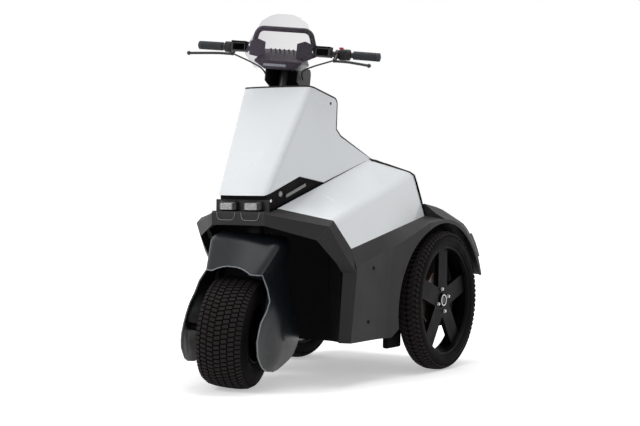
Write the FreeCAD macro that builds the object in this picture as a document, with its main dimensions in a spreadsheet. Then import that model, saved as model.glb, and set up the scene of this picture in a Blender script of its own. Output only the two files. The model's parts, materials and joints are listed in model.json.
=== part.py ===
# Stand-up electric three-wheeled patrol vehicle, in millimetres.
# The vehicle faces -Y, its left side is +X, and the ground is at Z = 0.
import FreeCAD, Part
import math
import os
import Sketcher
from types import SimpleNamespace
from FreeCAD import Placement, Rotation, Vector

doc = FreeCAD.newDocument("PatrolTrike")
sheet = doc.addObject("Spreadsheet::Sheet", "Sizes")

# Driving sizes, in millimetres and degrees. A formula gives a size that follows from others.
# Places named Forward are measured rearwards from the front axle, and heights from the ground.
sizes = {
    "wheelbase": 968,
    "axleToCentre": 579.1,
    "rake": 17.5,
    "steerTurn": 15.7,
    "axisForward": 6.7,
    "clearance": 0.3,
    "overrun": 5,
    "skin": 4,
    "liner": 6,
    # front wheel
    "frontTyreRadius": 205,
    "tyreRise": 1.5,
    "frontAxleHeight": "frontTyreRadius + tyreRise",
    "frontTyreWidth": 184,
    "frontShoulder": 24,
    "frontRimRadius": 104,
    "frontRimWidth": 168,
    "rimWall": 5,
    "frontHubRadius": 32,
    "frontHubWidth": 190,
    "frontWebWidth": 12,
    # rider bay and rear track
    "bayHalf": 250,
    "housingDepth": 33,
    "housingHalf": "bayHalf + housingDepth",
    "wheelInset": 60,
    "halfTrack": "housingHalf + wheelInset",
    "bayStart": 278,
    "cowlEndForward": "wheelbase - bayStart",
    "deckTail": 322,
    "deckEnd": "wheelbase + deckTail",
    "deckHeight": 235,
    "deckThick": 40,
    "housingWall": 4,
    "housingFoot": 165,
    "housingRise": 23,
    "bellyThick": 4,
    "formSteps": 8,
    "fenderSteps": 12,
    "bendSteps": 4,
    # rear wheels
    "rearTyreRadius": 286,
    "rearTyreWidth": 95,
    "rearShoulder": 15,
    "rearRimRadius": 222,
    "rearRimWidth": 76,
    "rearRimDepth": 12,
    "spokeWidth": 78,
    "spokeThick": 18,
    "spokeFace": 20,
    "spokeCount": 5,
    "hubRadius": 72,
    "hubCapRadius": 30,
    "hubCapThick": 6,
    "discRadius": 105,
    "discThick": 5,
    "discInset": 26,
    "hubBossRadius": 34,
    # front fender, in the frame of the straight steering
    "hoodGap": 21.5,
    "hoodLipHeight": "frontAxleHeight + frontTyreRadius + hoodGap",
    "hoodLipHalf": 107,
    "hoodLipForward": -112,
    "hoodLipRise": 22,
    "hoodTall": 133,
    "hoodTopHeight": "hoodLipHeight + hoodTall",
    "hoodTopHalf": 135,
    "hoodTopForward": 20,
    "hoodBulge": 14,
    "hoodBack": 150,
    "hoodCrease": 34,
    "hoodSkin": 4,
    "legTopHalf": 119,
    "legFootHalf": 149,
    "legReach": 180,
    "legFoot": 80,
    "domeRadius": 165,
    "domeTopRadius": 26,
    "domeHalf": 184,
    # wheel arch
    "roofGap": 38,
    "archRoof": "hoodTopHeight + roofGap",
    "archHalf": 286,
    "archReach": 140,
    "archBack": "frontTyreRadius + archReach",
    "archCorner": 110,
    "archSillHeight": 163,
    "archEdgeHalf": 300,
    "archEdgeForward": 155,
    "archEdgeDrop": 5,
    "archEdgeHeight": "archRoof - archEdgeDrop",
    "archCheekHalf": 321,
    "archCheekForward": 240,
    "archCheekDrop": 114,
    "archCheekHeight": "archRoof - archCheekDrop",
    "archKneeHalf": 333,
    "archKneeForward": 308,
    "archKneeDrop": 183,
    "archKneeHeight": "archRoof - archKneeDrop",
    "archFootForward": 268,
    "archBendHalf": 262,
    "archBendForward": 130,
    "archBendDrop": 56,
    "archBendHeight": "archRoof - archBendDrop",
    "archInnerHalf": 288,
    "archInnerForward": 225,
    "archInnerDrop": 139,
    "archInnerHeight": "archRoof - archInnerDrop",
    "archPillar": 30,
    # shield
    "shieldFootRise": 104,
    "shieldFootHeight": "archRoof + shieldFootRise",
    "shieldTall": 411,
    "shieldTopHeight": "shieldFootHeight + shieldTall",
    "shieldTopHalf": 155,
    "shieldTopForward": 250,
    "shieldFootHalf": 110,
    "shieldFootForward": 24,
    "shieldRearHalf": 167.5,
    "shieldDepth": 175,
    "shieldRearForward": "shieldTopForward + shieldDepth",
    "shieldRearDrop": 38,
    "shieldRearHeight": "shieldTopHeight - shieldRearDrop",
    "shieldWaistSet": 8,
    "shieldWaistForward": "shieldRearForward + shieldWaistSet",
    "shieldWaistDrop": 152,
    "shieldWaistHeight": "shieldTopHeight - shieldWaistDrop",
    "shieldHipSet": 42,
    "shieldHipForward": "shieldRearForward + shieldHipSet",
    "shieldHipDrop": 178,
    "shieldHipHeight": "shieldTopHeight - shieldHipDrop",
    "shieldBulge": 20,
    "shieldCrease": 28,
    "shieldCorner": 24,
    "slotTopForward": 220,
    "slotTopRise": 74,
    "slotTopHeight": "shieldFootHeight + slotTopRise",
    "slotRearForward": 377,
    "slotRearRise": 54,
    "slotRearHeight": "shieldFootHeight + slotRearRise",
    "slotDepth": 8,
    # side cowls
    "cowlTipForward": 95,
    "cowlTipDrop": 47,
    "cowlTipHeight": "shieldFootHeight - cowlTipDrop",
    "cowlShoulderHalf": 300,
    "cowlShoulderForward": 186,
    "cowlShoulderRise": 16,
    "cowlShoulderHeight": "archRoof + cowlShoulderRise",
    "cowlFootHalf": 322,
    "cowlFootForward": 281,
    "cowlFootDrop": 89,
    "cowlFootHeight": "archRoof - cowlFootDrop",
    "cowlEndRise": 154,
    "cowlEndHeight": "shieldFootHeight + cowlEndRise",
    "cowlEndShare": "cowlEndRise / shieldTall",
    "bayFrontHalf": "shieldFootHalf + (shieldTopHalf - shieldFootHalf) * cowlEndShare"
                    " + (shieldRearHalf - shieldTopHalf) / shieldDepth * (cowlEndForward - shieldFootForward"
                    " - (shieldTopForward - shieldFootForward) * cowlEndShare)",
    "cowlRearHalf": 230,
    "cowlHeelSet": 18,
    "cowlHeelForward": "wheelbase - cowlHeelSet",
    "cowlLean": 5,
    "cowlRearForward": "cowlHeelForward - cowlLean",
    "cowlHeelFlare": 2,
    "cowlHeelHalf": "housingHalf + cowlHeelFlare",
    "cowlBack": 150,
    # lamp block
    "blockHalf": 118,
    "blockFootDrop": 6,
    "blockFoot": "archRoof - blockFootDrop",
    "blockTopRise": 38,
    "blockTop": "archRoof + blockTopRise",
    "blockShelfRise": 46,
    "blockShelf": "archRoof + blockShelfRise",
    "blockFront": 2,
    "blockBack": 34,
    "headlampHalf": 54,
    "headlampWidth": 62,
    "headlampTall": 25,
    "headlampRise": 63,
    "headlampHeight": "archRoof + headlampRise",
    "headlampReach": 28,
    "sideLampLength": 126,
    "sideLampTall": 13,
    "sideLampThick": 5,
    "sideLampForward": 150,
    "sideLampDrop": 1,
    "sideLampHeight": "shieldFootHeight - sideLampDrop",
    # side panels and rear fenders
    "panelDrop": 48,
    "lipOverhang": 37,
    "lipHalf": "halfTrack + lipOverhang",
    "panelHalf": "lipHalf - panelDrop",
    "lipGap": 75,
    "lipRadius": "rearTyreRadius + lipGap",
    "lipDrop": 42,
    "lipSet": 9,
    "lipForward": "wheelbase - lipSet",
    "creaseRise": 15,
    "shoulderRise": 47,
    "shoulderInset": 15,
    "shoulderHalf": "lipHalf - shoulderInset",
    "crownRise": 69,
    "crownInset": 65,
    "crownHalf": "lipHalf - crownInset",
    "heelRise": 28,
    "cowlHeelHeight": "rearTyreRadius - lipDrop + lipRadius + heelRise",
    "cowlRearHeight": "cowlHeelHeight + cowlBack",
    "fenderTail": 375,
    "panelCreaseDrop": 75,
    "panelCrease": "cowlFootHeight - panelCreaseDrop",
    "fenderSet": 17,
    "fenderStart": "wheelbase - fenderSet",
    "fenderBlend": 32,
    "sillCut": 42,
    "tailLampTop": 557,
    "tailLampFoot": 455,
    "tailLampHalf": 330,
    "tailLampThick": 14,
    # battery
    "batteryWidth": 300,
    "batteryMargin": 27,
    "batteryForward": "archBack + batteryMargin",
    "batteryLength": "cowlEndForward - archBack - 2 * batteryMargin",
    "batteryHeight": 240,
    # rear arms
    "armThick": 16,
    "armTall": 60,
    "armPivotSet": 25,
    "armPivotForward": "cowlEndForward - armPivotSet",
    "armPivotHeight": 215,
    "axleRadius": 14,
    "caliperWidth": 44,
    "caliperLength": 90,
    "caliperTall": 52,
    "caliperAngle": 130,
    # fork and stem
    "forkHalf": 112,
    "forkThick": 12,
    "forkWide": 60,
    "crownDrop": 46,
    "crownHeight": "hoodTopHeight - crownDrop",
    "crownThick": 20,
    "stemRadius": 19,
    "headTubeRadius": 30,
    "headTubeDrop": 11,
    "headTubeTop": "shieldTopHeight - headTubeDrop",
    "stemRise": 117,
    "stemTop": "shieldTopHeight + stemRise",
    # handlebar group, in the frame of the straight steering
    "barRadius": 11,
    "barRise": 147,
    "barHeight": "shieldTopHeight + barRise",
    "barForward": 320,
    "barRiseHalf": 120,
    "barGripHalf": 258,
    "barEndHalf": 362,
    "gripRadius": 16.5,
    "clampRise": 121,
    "clampHeight": "shieldTopHeight + clampRise",
    "podHalf": 94,
    "podFootHalf": 62,
    "podTopHalf": 72,
    "podFootDrop": 78,
    "podFoot": "barHeight - podFootDrop",
    "podTall": 78,
    "podFront": 206,
    "podForward": 232,
    "podBrow": 24,
    "podBack": 300,
    "screenRise": 280,
    "screenTop": "shieldTopHeight + screenRise",
    "screenFootRise": 66,
    "screenFoot": "shieldTopHeight + screenFootRise",
    "screenHalf": 138,
    "screenTopHalf": 92,
    "screenFront": 150,
    "screenTopForward": 242,
    "screenSweep": 60,
    "screenThick": 3,
    "screenSideForward": 210,
    "screenWaistRise": 55,
    "screenKneeRise": 90,
    "screenShoulderDrop": 31,
    "screenFootHalf": 75,
    "hoopRadius": 10,
    "hoopRise": 223,
    "hoopHeight": "shieldTopHeight + hoopRise",
    "hoopHalf": 104,
    "hoopForward": 252,
    "hoopLegHalf": 127,
    "hoopLegForward": 262,
    "hoopLegRise": 143,
    "hoopLegHeight": "shieldTopHeight + hoopLegRise",
    "hoopBend": 32,
    "bootHalf": 66,
    "bootFront": 262,
    "bootBack": 430,
    "bootFootRise": 26,
    "bootFoot": "shieldTopHeight + bootFootRise",
    "bootTall": 61,
    "bootRound": 24,
    "bracketHalf": 63,
    "bracketWidth": 62,
    "bracketForward": 226,
    "bracketRise": 107,
    "bracketFoot": "shieldTopHeight + bracketRise",
    "bracketTall": 74,
    "perchHalf": 196,
    "perchWidth": 18,
    "perchRadius": 17,
    "leverForward": 258,
    "leverRise": 117,
    "leverHeight": "shieldTopHeight + leverRise",
    "leverEndHalf": 358,
    "leverEndForward": 196,
    "leverEndDrop": 12,
    "leverRadius": 5,
    "leverBall": 8,
    "reservoirHalf": 169,
    "reservoirRise": 0,
    "reservoirForward": 238,
    "reservoirWidth": 56,
    "reservoirDepth": 40,
    "reservoirTall": 40,
    "switchHalf": 234,
    "switchRadius": 20,
    "switchWidth": 38,
    "hoseRadius": 3,
    "hoseSag": 46,
}
for row, (alias, amount) in enumerate(sizes.items(), 1):
    sheet.set(f"A{row}", alias)
    sheet.set(f"B{row}", f"={amount}")
    sheet.setAlias(f"B{row}", alias)
doc.recompute()
v = SimpleNamespace(**{alias: float(sheet.get(alias)) for alias in sizes})

# Placements: every piece is drawn with the front axle at Y = 0 and then moved to the part's frame.
toPart = Placement(Vector(0, -v.axleToCentre, 0), Rotation())
rake = math.radians(v.rake)
axisDirection = Vector(0, math.sin(rake), math.cos(rake))
axisFoot = Vector(0, v.axisForward, v.frontAxleHeight)
turned = Placement(Vector(), Rotation(axisDirection, v.steerTurn), axisFoot)
steered = toPart * turned
nodes = {}


def axisAt(height):
    return axisFoot + axisDirection * ((height - v.frontAxleHeight) / math.cos(rake))


def mix(start, end, share):
    return start + (end - start) * share


# Shape helpers
def face(points):
    return Part.Face(Part.makePolygon([*points, points[0]]))


def prismX(outline, start, end):
    return face([Vector(start, y, z) for y, z in outline]).extrude(Vector(end - start, 0, 0))


def prismY(outline, start, end):
    return face([Vector(x, start, z) for x, z in outline]).extrude(Vector(0, end - start, 0))


def prismZ(outline, start, end):
    return face([Vector(x, y, start) for x, y in outline]).extrude(Vector(0, 0, end - start))


def loft(sections):
    return Part.makeLoft([Part.makePolygon([*points, points[0]]) for points in sections], True, True)


def faceted(sections, steps):
    """A solid through polygons of equal count, in plane triangles so that it cuts cleanly."""
    rows = [sections[0]]
    for near, far in zip(sections, sections[1:]):
        for step in range(1, steps + 1):
            rows.append([mix(a, b, step / steps) for a, b in zip(near, far)])
    faces = []
    for row in (rows[0], rows[-1]):
        faces += [face([row[0], near, far]) for near, far in zip(row[1:], row[2:])]
    for near, far in zip(rows, rows[1:]):
        for index in range(len(near)):
            after = (index + 1) % len(near)
            a, b, c, d = near[index], near[after], far[after], far[index]
            for corners in ((a, b, d), (b, c, d)):
                if (corners[1] - corners[0]).cross(corners[2] - corners[0]).Length > v.clearance:
                    faces.append(face(corners))
    return sewn(faces)


def skinned(outer, inner, keep=None, folded=False):
    """A closed solid between two grids of points, in plane triangles.

    keep says which cells exist, and a folded grid's first row is a line that its two halves share.
    """
    cells = {(row, column) for row in range(len(outer) - 1) for column in range(len(outer[0]) - 1)
             if keep is None or keep(row, column)}
    faces = []

    def quad(a, b, c, d):
        for corners in ((a, b, d), (b, c, d)):
            if (corners[1] - corners[0]).cross(corners[2] - corners[0]).Length > v.clearance ** 2:
                faces.append(face(corners))
    for row, column in cells:
        spots = [(row, column), (row, column + 1), (row + 1, column + 1), (row + 1, column)]
        quad(*[outer[i][j] for i, j in spots])
        quad(*[inner[i][j] for i, j in spots])
        beside = [(row - 1, column), (row, column + 1), (row + 1, column), (row, column - 1)]
        for near, far, other in zip(spots, spots[1:] + spots[:1], beside):
            if other not in cells and not (folded and other[0] < 0):
                quad(outer[near[0]][near[1]], outer[far[0]][far[1]], inner[far[0]][far[1]],
                     inner[near[0]][near[1]])
    return sewn(faces)


def sewn(faces):
    shell = Part.Shell(faces)
    shell.sewShape()
    solid = Part.Solid(shell)
    if solid.Volume < 0:
        solid.reverse()
    return solid.removeSplitter()


def rounded(points, index, radius):
    """The same outline with one corner replaced by points of an arc."""
    before, corner, after = (Vector(*points[place], 0) for place in (index - 1, index, index + 1))
    into = (corner - before).normalize()
    out = (after - corner).normalize()
    turn = into.getAngle(out)
    centre = corner + (out - into).normalize() * (radius / math.cos(turn / 2))
    start = corner - into * (radius * math.tan(turn / 2)) - centre
    end = corner + out * (radius * math.tan(turn / 2)) - centre
    steps = int(v.bendSteps)
    arc = [centre + mix(start, end, step / steps).normalize() * radius for step in range(steps + 1)]
    return points[:index] + [(spot.x, spot.y) for spot in arc] + points[index + 1:]


def smooth(share):
    share = min(1, max(0, share))
    return share * share * (3 - 2 * share)


def mirrored(shape):
    return shape.mirror(Vector(), Vector(1, 0, 0))


def both(shape):
    return Part.makeCompound([shape, mirrored(shape)])


def box(low, high):
    size = high - low
    return Part.makeBox(size.x, size.y, size.z, low)


def rod(start, end, radius):
    run = end - start
    return Part.makeCylinder(radius, run.Length, start, run)


def pathOf(points, radii):
    """Straight runs joined by tangent arcs."""
    edges = []
    last = points[0]
    for before, corner, after, radius in zip(points, points[1:], points[2:], radii):
        into = (corner - before).normalize()
        out = (after - corner).normalize()
        turn = into.getAngle(out)
        reach = radius * math.tan(turn / 2)
        start = corner - into * reach
        end = corner + out * reach
        middle = corner + (out - into).normalize() * (radius / math.cos(turn / 2) - radius)
        edges.append(Part.LineSegment(last, start).toShape())
        edges.append(Part.Arc(start, middle, end).toShape())
        last = end
    edges.append(Part.LineSegment(last, points[-1]).toShape())
    return Part.Wire(edges)


def largestRadii(points):
    """The largest arc that the two runs at each corner allow."""
    radii = []
    for before, corner, after in zip(points, points[1:], points[2:]):
        shorter = min((corner - before).Length, (after - corner).Length)
        turn = (corner - before).getAngle(after - corner)
        radii.append(0.45 * shorter / math.tan(turn / 2))
    return radii


def tube(points, radius, radii=None):
    path = pathOf(points, radii or largestRadii(points))
    ring = Part.Wire(Part.makeCircle(radius, points[0], points[1] - points[0]))
    return path.makePipeShell([ring], True, True)


def single(shape):
    """The largest solid of a result, without slivers."""
    return max(shape.Solids, key=lambda solid: solid.Volume)


def feature(name, shape, placement=toPart):
    item = doc.addObject("Part::Feature", name)
    item.Shape = shape
    item.Placement = placement
    item.Label = name
    nodes[name] = item
    return item


def pair(name, shape, placement=toPart):
    """Left and right copies as two nodes."""
    feature(name + "_left", shape, placement)
    feature(name + "_right", mirrored(shape), placement)


# Parametric helpers
def primitive(kind, name, **expressions):
    item = doc.addObject(kind, name)
    for key, expression in expressions.items():
        item.setExpression(key, expression)
    return item


def place(item, x, y, z):
    item.setExpression("Placement.Base.x", x)
    item.setExpression("Placement.Base.y", y + " - Sizes.axleToCentre")
    item.setExpression("Placement.Base.z", z)


def node(item, name):
    item.Label = name
    nodes[name] = item
    return item


def originPlane(body, role):
    return next(part for part in body.Origin.OriginFeatures if part.Role == role)


def outlineSketch(body, name, role, corners):
    """A closed outline whose corners are pairs of expressions."""
    sketch = body.newObject("Sketcher::SketchObject", name)
    sketch.AttachmentSupport = [(originPlane(body, role), "")]
    sketch.MapMode = "FlatFace"
    spots = [Vector(evaluate(x), evaluate(y), 0) for x, y in corners]
    for start, end in zip(spots, spots[1:] + spots[:1]):
        sketch.addGeometry(Part.LineSegment(start, end))
    count = len(spots)
    for index in range(count):
        sketch.addConstraint(Sketcher.Constraint("Coincident", index, 2, (index + 1) % count, 1))
    for index, (x, y) in enumerate(corners):
        for kind, expression, amount in (("DistanceX", x, spots[index].x), ("DistanceY", y, spots[index].y)):
            number = sketch.addConstraint(Sketcher.Constraint(kind, -1, 1, index, 1, amount))
            sketch.setExpression(f"Constraints[{number}]", expression)
    return sketch


def evaluate(expression):
    return float(sheet.evalExpression(expression))


def revolved(body, name, sketch, axis):
    turn = body.newObject("PartDesign::Revolution", name)
    turn.Profile = sketch
    turn.ReferenceAxis = (sketch, [axis])
    turn.Angle = 360
    return turn


# A tyre's section: half widths at its bead, tread edge and tread crown, and the height of its side.
bead_share, edge_share, crown_share, side_share = 0.8, 0.72, 0.28, 0.35
# How much of a rear rim's width its well takes.
well_share = 0.7


def wheelRing(name, outer, inner, width, shoulder):
    """A tyre: a ring about X with rounded shoulders."""
    body = doc.addObject("PartDesign::Body", name + "_body")
    half = f"({width}) / 2"
    side = f"{inner} + ({outer} - {inner}) * {side_share}"
    left = [(f"0 - {half} * {bead_share}", inner), (f"0 - {half}", side),
            (f"0 - {half}", f"{outer} - {shoulder}"),
            (f"0 - {half} * {edge_share}", f"{outer} - {shoulder} / 5"),
            (f"0 - {half} * {crown_share}", outer)]
    right = [(across.replace("0 - ", ""), radius) for across, radius in reversed(left)]
    sketch = outlineSketch(body, name + "_profile", "XY_Plane", left + right)
    revolved(body, name + "_turn", sketch, "H_Axis")
    return node(body, name)


def spinX(profile, forward, height, start, sweep):
    """A profile of (x, radius) turned about a line along X; angles run from +Y towards +Z."""
    flat = face([Vector(x, forward + radius, height) for x, radius in profile])
    centre = Vector(0, forward, height)
    flat.rotate(centre, Vector(1, 0, 0), start)
    return flat.revolve(centre, Vector(1, 0, 0), sweep)


# Wheels
def frontWheel():
    hub = turned.multVec(Vector(0, 0, v.frontAxleHeight))
    spot = toPart * Placement(hub, turned.Rotation)
    tyre = wheelRing("front_tyre", "Sizes.frontTyreRadius", "Sizes.frontRimRadius",
                     "Sizes.frontTyreWidth", "Sizes.frontShoulder")
    tyre.Placement = spot
    body = doc.addObject("PartDesign::Body", "front_rim_body")
    half = "Sizes.frontRimWidth / 2"
    web = "Sizes.frontWebWidth / 2"
    sketch = outlineSketch(body, "front_rim_profile", "XY_Plane", [
        (f"0 - {half}", "Sizes.frontRimRadius - Sizes.rimWall"), (f"0 - {half}", "Sizes.frontRimRadius"),
        (half, "Sizes.frontRimRadius"), (half, "Sizes.frontRimRadius - Sizes.rimWall"),
        (web, "Sizes.frontRimRadius - Sizes.rimWall"), (web, "Sizes.frontHubRadius"),
        ("Sizes.frontHubWidth / 2", "Sizes.frontHubRadius"),
        ("Sizes.frontHubWidth / 2", "Sizes.axleRadius + Sizes.clearance"),
        ("0 - Sizes.frontHubWidth / 2", "Sizes.axleRadius + Sizes.clearance"),
        ("0 - Sizes.frontHubWidth / 2", "Sizes.frontHubRadius"),
        (f"0 - {web}", "Sizes.frontHubRadius"), (f"0 - {web}", "Sizes.frontRimRadius - Sizes.rimWall")])
    revolved(body, "front_rim_turn", sketch, "H_Axis")
    node(body, "front_rim").Placement = spot


def rearWheel(side, sign):
    spot = Placement(Vector(sign * v.halfTrack, v.wheelbase - v.axleToCentre, v.rearTyreRadius),
                     Rotation(Vector(0, 0, 1), 0 if sign > 0 else 180))
    tyre = wheelRing("rear_tyre_" + side, "Sizes.rearTyreRadius", "Sizes.rearRimRadius",
                     "Sizes.rearTyreWidth", "Sizes.rearShoulder")
    tyre.Placement = spot
    name = "rear_rim_" + side
    body = doc.addObject("PartDesign::Body", name + "_body")
    half = "Sizes.rearRimWidth / 2"
    floor = "Sizes.rearRimRadius - Sizes.rearRimDepth"
    back = "Sizes.spokeFace - Sizes.spokeThick"
    bore = "Sizes.axleRadius + Sizes.clearance"
    barrel = outlineSketch(body, name + "_barrel", "XY_Plane", [
        (f"0 - {half}", f"{floor} + Sizes.rimWall"), (f"0 - {half}", "Sizes.rearRimRadius"),
        (half, "Sizes.rearRimRadius"), (half, f"{floor} + Sizes.rimWall"),
        (f"{half} * {well_share}", floor), (f"0 - {half} * {well_share}", floor)])
    revolved(body, name + "_ring", barrel, "H_Axis")
    spoke = outlineSketch(body, name + "_spoke", "YZ_Plane", [
        ("0 - Sizes.spokeWidth / 2", "Sizes.hubRadius / 2"), ("Sizes.spokeWidth / 2", "Sizes.hubRadius / 2"),
        ("Sizes.spokeWidth / 2", f"{floor} + Sizes.rimWall / 2"),
        ("0 - Sizes.spokeWidth / 2", f"{floor} + Sizes.rimWall / 2")])
    spoke.setExpression("AttachmentOffset.Base.z", back)
    pad = body.newObject("PartDesign::Pad", name + "_arm")
    pad.Profile = spoke
    pad.setExpression("Length", "Sizes.spokeThick")
    doc.recompute()
    ring = body.newObject("PartDesign::PolarPattern", name + "_arms")
    ring.Originals = [pad]
    ring.Axis = (originPlane(body, "X_Axis"), [""])
    ring.Angle = 360
    ring.setExpression("Occurrences", "Sizes.spokeCount")
    body.Tip = ring
    hub = outlineSketch(body, name + "_hub", "XY_Plane", [
        (back, bore), (back, "Sizes.hubRadius"), ("Sizes.spokeFace", "Sizes.hubRadius"),
        ("Sizes.spokeFace", "Sizes.hubCapRadius"),
        ("Sizes.spokeFace + Sizes.hubCapThick", "Sizes.hubCapRadius"),
        ("Sizes.spokeFace + Sizes.hubCapThick", bore)])
    revolved(body, name + "_boss", hub, "H_Axis")
    bored = outlineSketch(body, name + "_bore", "XY_Plane", [
        (back, "0"), (back, bore), ("Sizes.spokeFace + 2 * Sizes.hubCapThick", bore),
        ("Sizes.spokeFace + 2 * Sizes.hubCapThick", "0")])
    groove = body.newObject("PartDesign::Groove", name + "_hole")
    groove.Profile = bored
    groove.ReferenceAxis = (bored, ["H_Axis"])
    groove.Angle = 360
    node(body, name).Placement = spot
    disc = Part.makeCylinder(v.discRadius, v.discThick, Vector(-v.discInset, 0, 0), Vector(1, 0, 0))
    boss = Part.makeCylinder(v.hubBossRadius, v.discInset + v.spokeFace - v.spokeThick,
                             Vector(-v.discInset, 0, 0), Vector(1, 0, 0))
    hole = Part.makeCylinder(v.axleRadius + v.clearance, 4 * v.discInset, Vector(-2 * v.discInset, 0, 0),
                             Vector(1, 0, 0))
    feature("brake_disc_" + side, single(disc.fuse(boss).cut(hole)), spot)


# Body forms
def sideSpread():
    """How fast the shield's half width grows rearwards."""
    return (v.shieldRearHalf - v.shieldTopHalf) / (v.shieldRearForward - v.shieldTopForward)


def spineSection(height, back, inset):
    share = (height - v.shieldFootHeight) / (v.shieldTopHeight - v.shieldFootHeight)
    half = mix(v.shieldFootHalf, v.shieldTopHalf, share) - inset
    front = mix(v.shieldFootForward, v.shieldTopForward, share) + inset
    wide = half + sideSpread() * (back - front)
    corners = [Vector(half, front, height), Vector(wide, back, height), Vector(-wide, back, height),
               Vector(-half, front, height)]
    nose = Part.Arc(corners[3], Vector(0, front - v.shieldBulge, height), corners[0]).toShape()
    return Part.Wire([nose] + [Part.makeLine(a, b) for a, b in zip(corners, corners[1:])])


def spine(inset, foot, top, back):
    """The tapering upright whose front and sides are the shield's own faces."""
    return Part.makeLoft([spineSection(foot, back, inset), spineSection(top, back, inset)], True, True)


def rearLine():
    """The shield's top and rear edge in side view, from the front to the rider's bay."""
    points = [(v.shieldTopForward - v.shieldBulge, v.shieldTopHeight),
              (v.shieldTopForward, v.shieldTopHeight),
              (v.shieldRearForward, v.shieldRearHeight), (v.shieldWaistForward, v.shieldWaistHeight),
              (v.shieldHipForward, v.shieldHipHeight), (v.cowlEndForward, v.cowlEndHeight)]
    return rounded(points, 2, v.shieldCorner)


def offsetLine(points, reach):
    """The same line moved by reach to its left, with mitred corners."""
    moved = []
    for index, point in enumerate(points):
        runs = []
        for near, far in ((index - 1, index), (index, index + 1)):
            if 0 <= near and far < len(points):
                step = Vector(points[far][0] - points[near][0], points[far][1] - points[near][1], 0)
                runs.append(step.normalize())
        normals = [Vector(-run.y, run.x, 0) for run in runs]
        middle = (normals[0] + normals[-1]).normalize()
        scale = reach / middle.dot(normals[0])
        moved.append((point[0] + middle.x * scale, point[1] + middle.y * scale))
    return moved


def seamHeight(forward):
    """The straight seam between the shield's side and the cowl."""
    share = (forward - v.cowlTipForward) / (v.cowlEndForward - v.cowlTipForward)
    return mix(v.cowlTipHeight, v.cowlEndHeight, share)


def shieldOutline(extra):
    rear = offsetLine(rearLine(), extra)
    ahead = -v.archBack
    rear[0] = (ahead, rear[1][1])
    rear[-1] = (v.cowlEndForward + extra, v.cowlEndHeight)
    return [(ahead, v.shieldFootHeight - v.creaseRise),
            (v.shieldFootForward, v.shieldFootHeight), (v.slotTopForward, v.slotTopHeight),
            (v.slotRearForward, v.slotRearHeight)] + rear[::-1]


def beyond(spot, normal, reach):
    """A large block that fills the far side of a plane, reach past the spot."""
    size = 4 * v.deckEnd
    block = Part.makeBox(size, size, size, Vector(-size / 2, -size / 2, reach))
    block.Placement = Placement(spot, Rotation(Vector(0, 0, 1), normal))
    return block


def seamHalf(forward):
    height = seamHeight(forward)
    share = (height - v.shieldFootHeight) / (v.shieldTopHeight - v.shieldFootHeight)
    half = mix(v.shieldFootHalf, v.shieldTopHalf, share)
    front = mix(v.shieldFootForward, v.shieldTopForward, share)
    return half + sideSpread() * (forward - front)


def bay(reach):
    """The space where the rider stands and all behind the cowls, grown by reach at its front and sides."""
    left = [(v.bayFrontHalf + reach, v.cowlEndForward - reach),
            (v.cowlRearHalf + reach, v.cowlRearForward - reach),
            (v.bayHalf + reach, v.cowlRearForward - reach), (v.bayHalf + reach, v.deckEnd + v.bayHalf)]
    plan = left + [(-x, y) for x, y in left[::-1]]
    low = Vector(v.cowlHeelHalf, v.cowlHeelForward, v.cowlHeelHeight)
    top = Vector(v.cowlRearHalf, v.cowlRearForward, v.cowlRearHeight)
    rear = beyond(top, (top - low).cross(Vector(1, 0, 0)), -reach)
    return prismZ(plan, v.deckHeight - v.deckThick, v.shieldTopHeight).fuse(rear)


def archSpace(grow, top):
    """The wheel's space: a rounded rectangle in plan, open to the front."""
    half = v.archHalf + grow
    back = v.archBack + grow
    corner = v.archCorner + grow
    low = v.archSillHeight - v.overrun
    block = box(Vector(-half, -v.archBack, low), Vector(half, back, top))
    uprights = [edge for edge in block.Edges
                if edge.BoundBox.ZLength > v.overrun and edge.BoundBox.YMax > back - v.overrun
                and edge.BoundBox.XLength < v.overrun]
    return block.makeFillet(corner, uprights)


def wheelSpace():
    """The cylinder that the rear lip follows, for both wheels."""
    start = Vector(v.housingHalf, v.lipForward, v.rearTyreRadius - v.lipDrop)
    drum = Part.makeCylinder(v.lipRadius, v.halfTrack, start, Vector(1, 0, 0))
    return both(drum)


def cowlForm():
    """The left cowl, carried on past its rear edge and into the spine to be trimmed there."""
    front = [Vector(seamHalf(v.cowlTipForward), v.cowlTipForward, v.cowlTipHeight),
             Vector(v.cowlShoulderHalf, v.cowlShoulderForward, v.cowlShoulderHeight),
             Vector(v.cowlFootHalf, v.cowlFootForward, v.cowlFootHeight)]
    rear = [Vector(seamHalf(v.cowlEndForward), v.cowlEndForward, v.cowlEndHeight),
            Vector(v.cowlRearHalf, v.cowlRearForward, v.cowlRearHeight),
            Vector(v.cowlHeelHalf, v.cowlHeelForward, v.cowlHeelHeight)]
    rear = [end + (end - start) * cowlPast_share for start, end in zip(front, rear)]
    inner = v.headTubeRadius * 2
    sections = [[Vector(inner, row[0].y, row[0].z), *row, Vector(inner, row[-1].y, row[-1].z)]
                for row in (front, rear)]
    return faceted(sections, int(v.formSteps))


# How far the cowl's form runs on past its rear edge, as a share of its length.
cowlPast_share = 0.03


def frontShield():
    body = spine(0, v.shieldFootHeight - v.shieldTopHalf, v.shieldTopHeight + v.shieldBulge,
                 v.cowlEndForward + v.liner)
    creases = [edge for edge in body.Edges if edge.BoundBox.YMax < v.shieldTopForward + v.shieldBulge
               and edge.BoundBox.ZLength > v.shieldTopHalf]
    body = body.makeFillet(v.shieldCrease, creases)
    shield = body.common(prismX(shieldOutline(0), -v.archHalf, v.archHalf))
    return body, shield


def stemBore(radius=None):
    low = axisAt(v.archRoof - v.headTubeRadius)
    high = axisAt(v.shieldTopHeight + v.archCorner)
    return rod(low, high, radius or v.headTubeRadius)


def lipCentre():
    return Vector(0, v.lipForward, v.rearTyreRadius - v.lipDrop)


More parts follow.
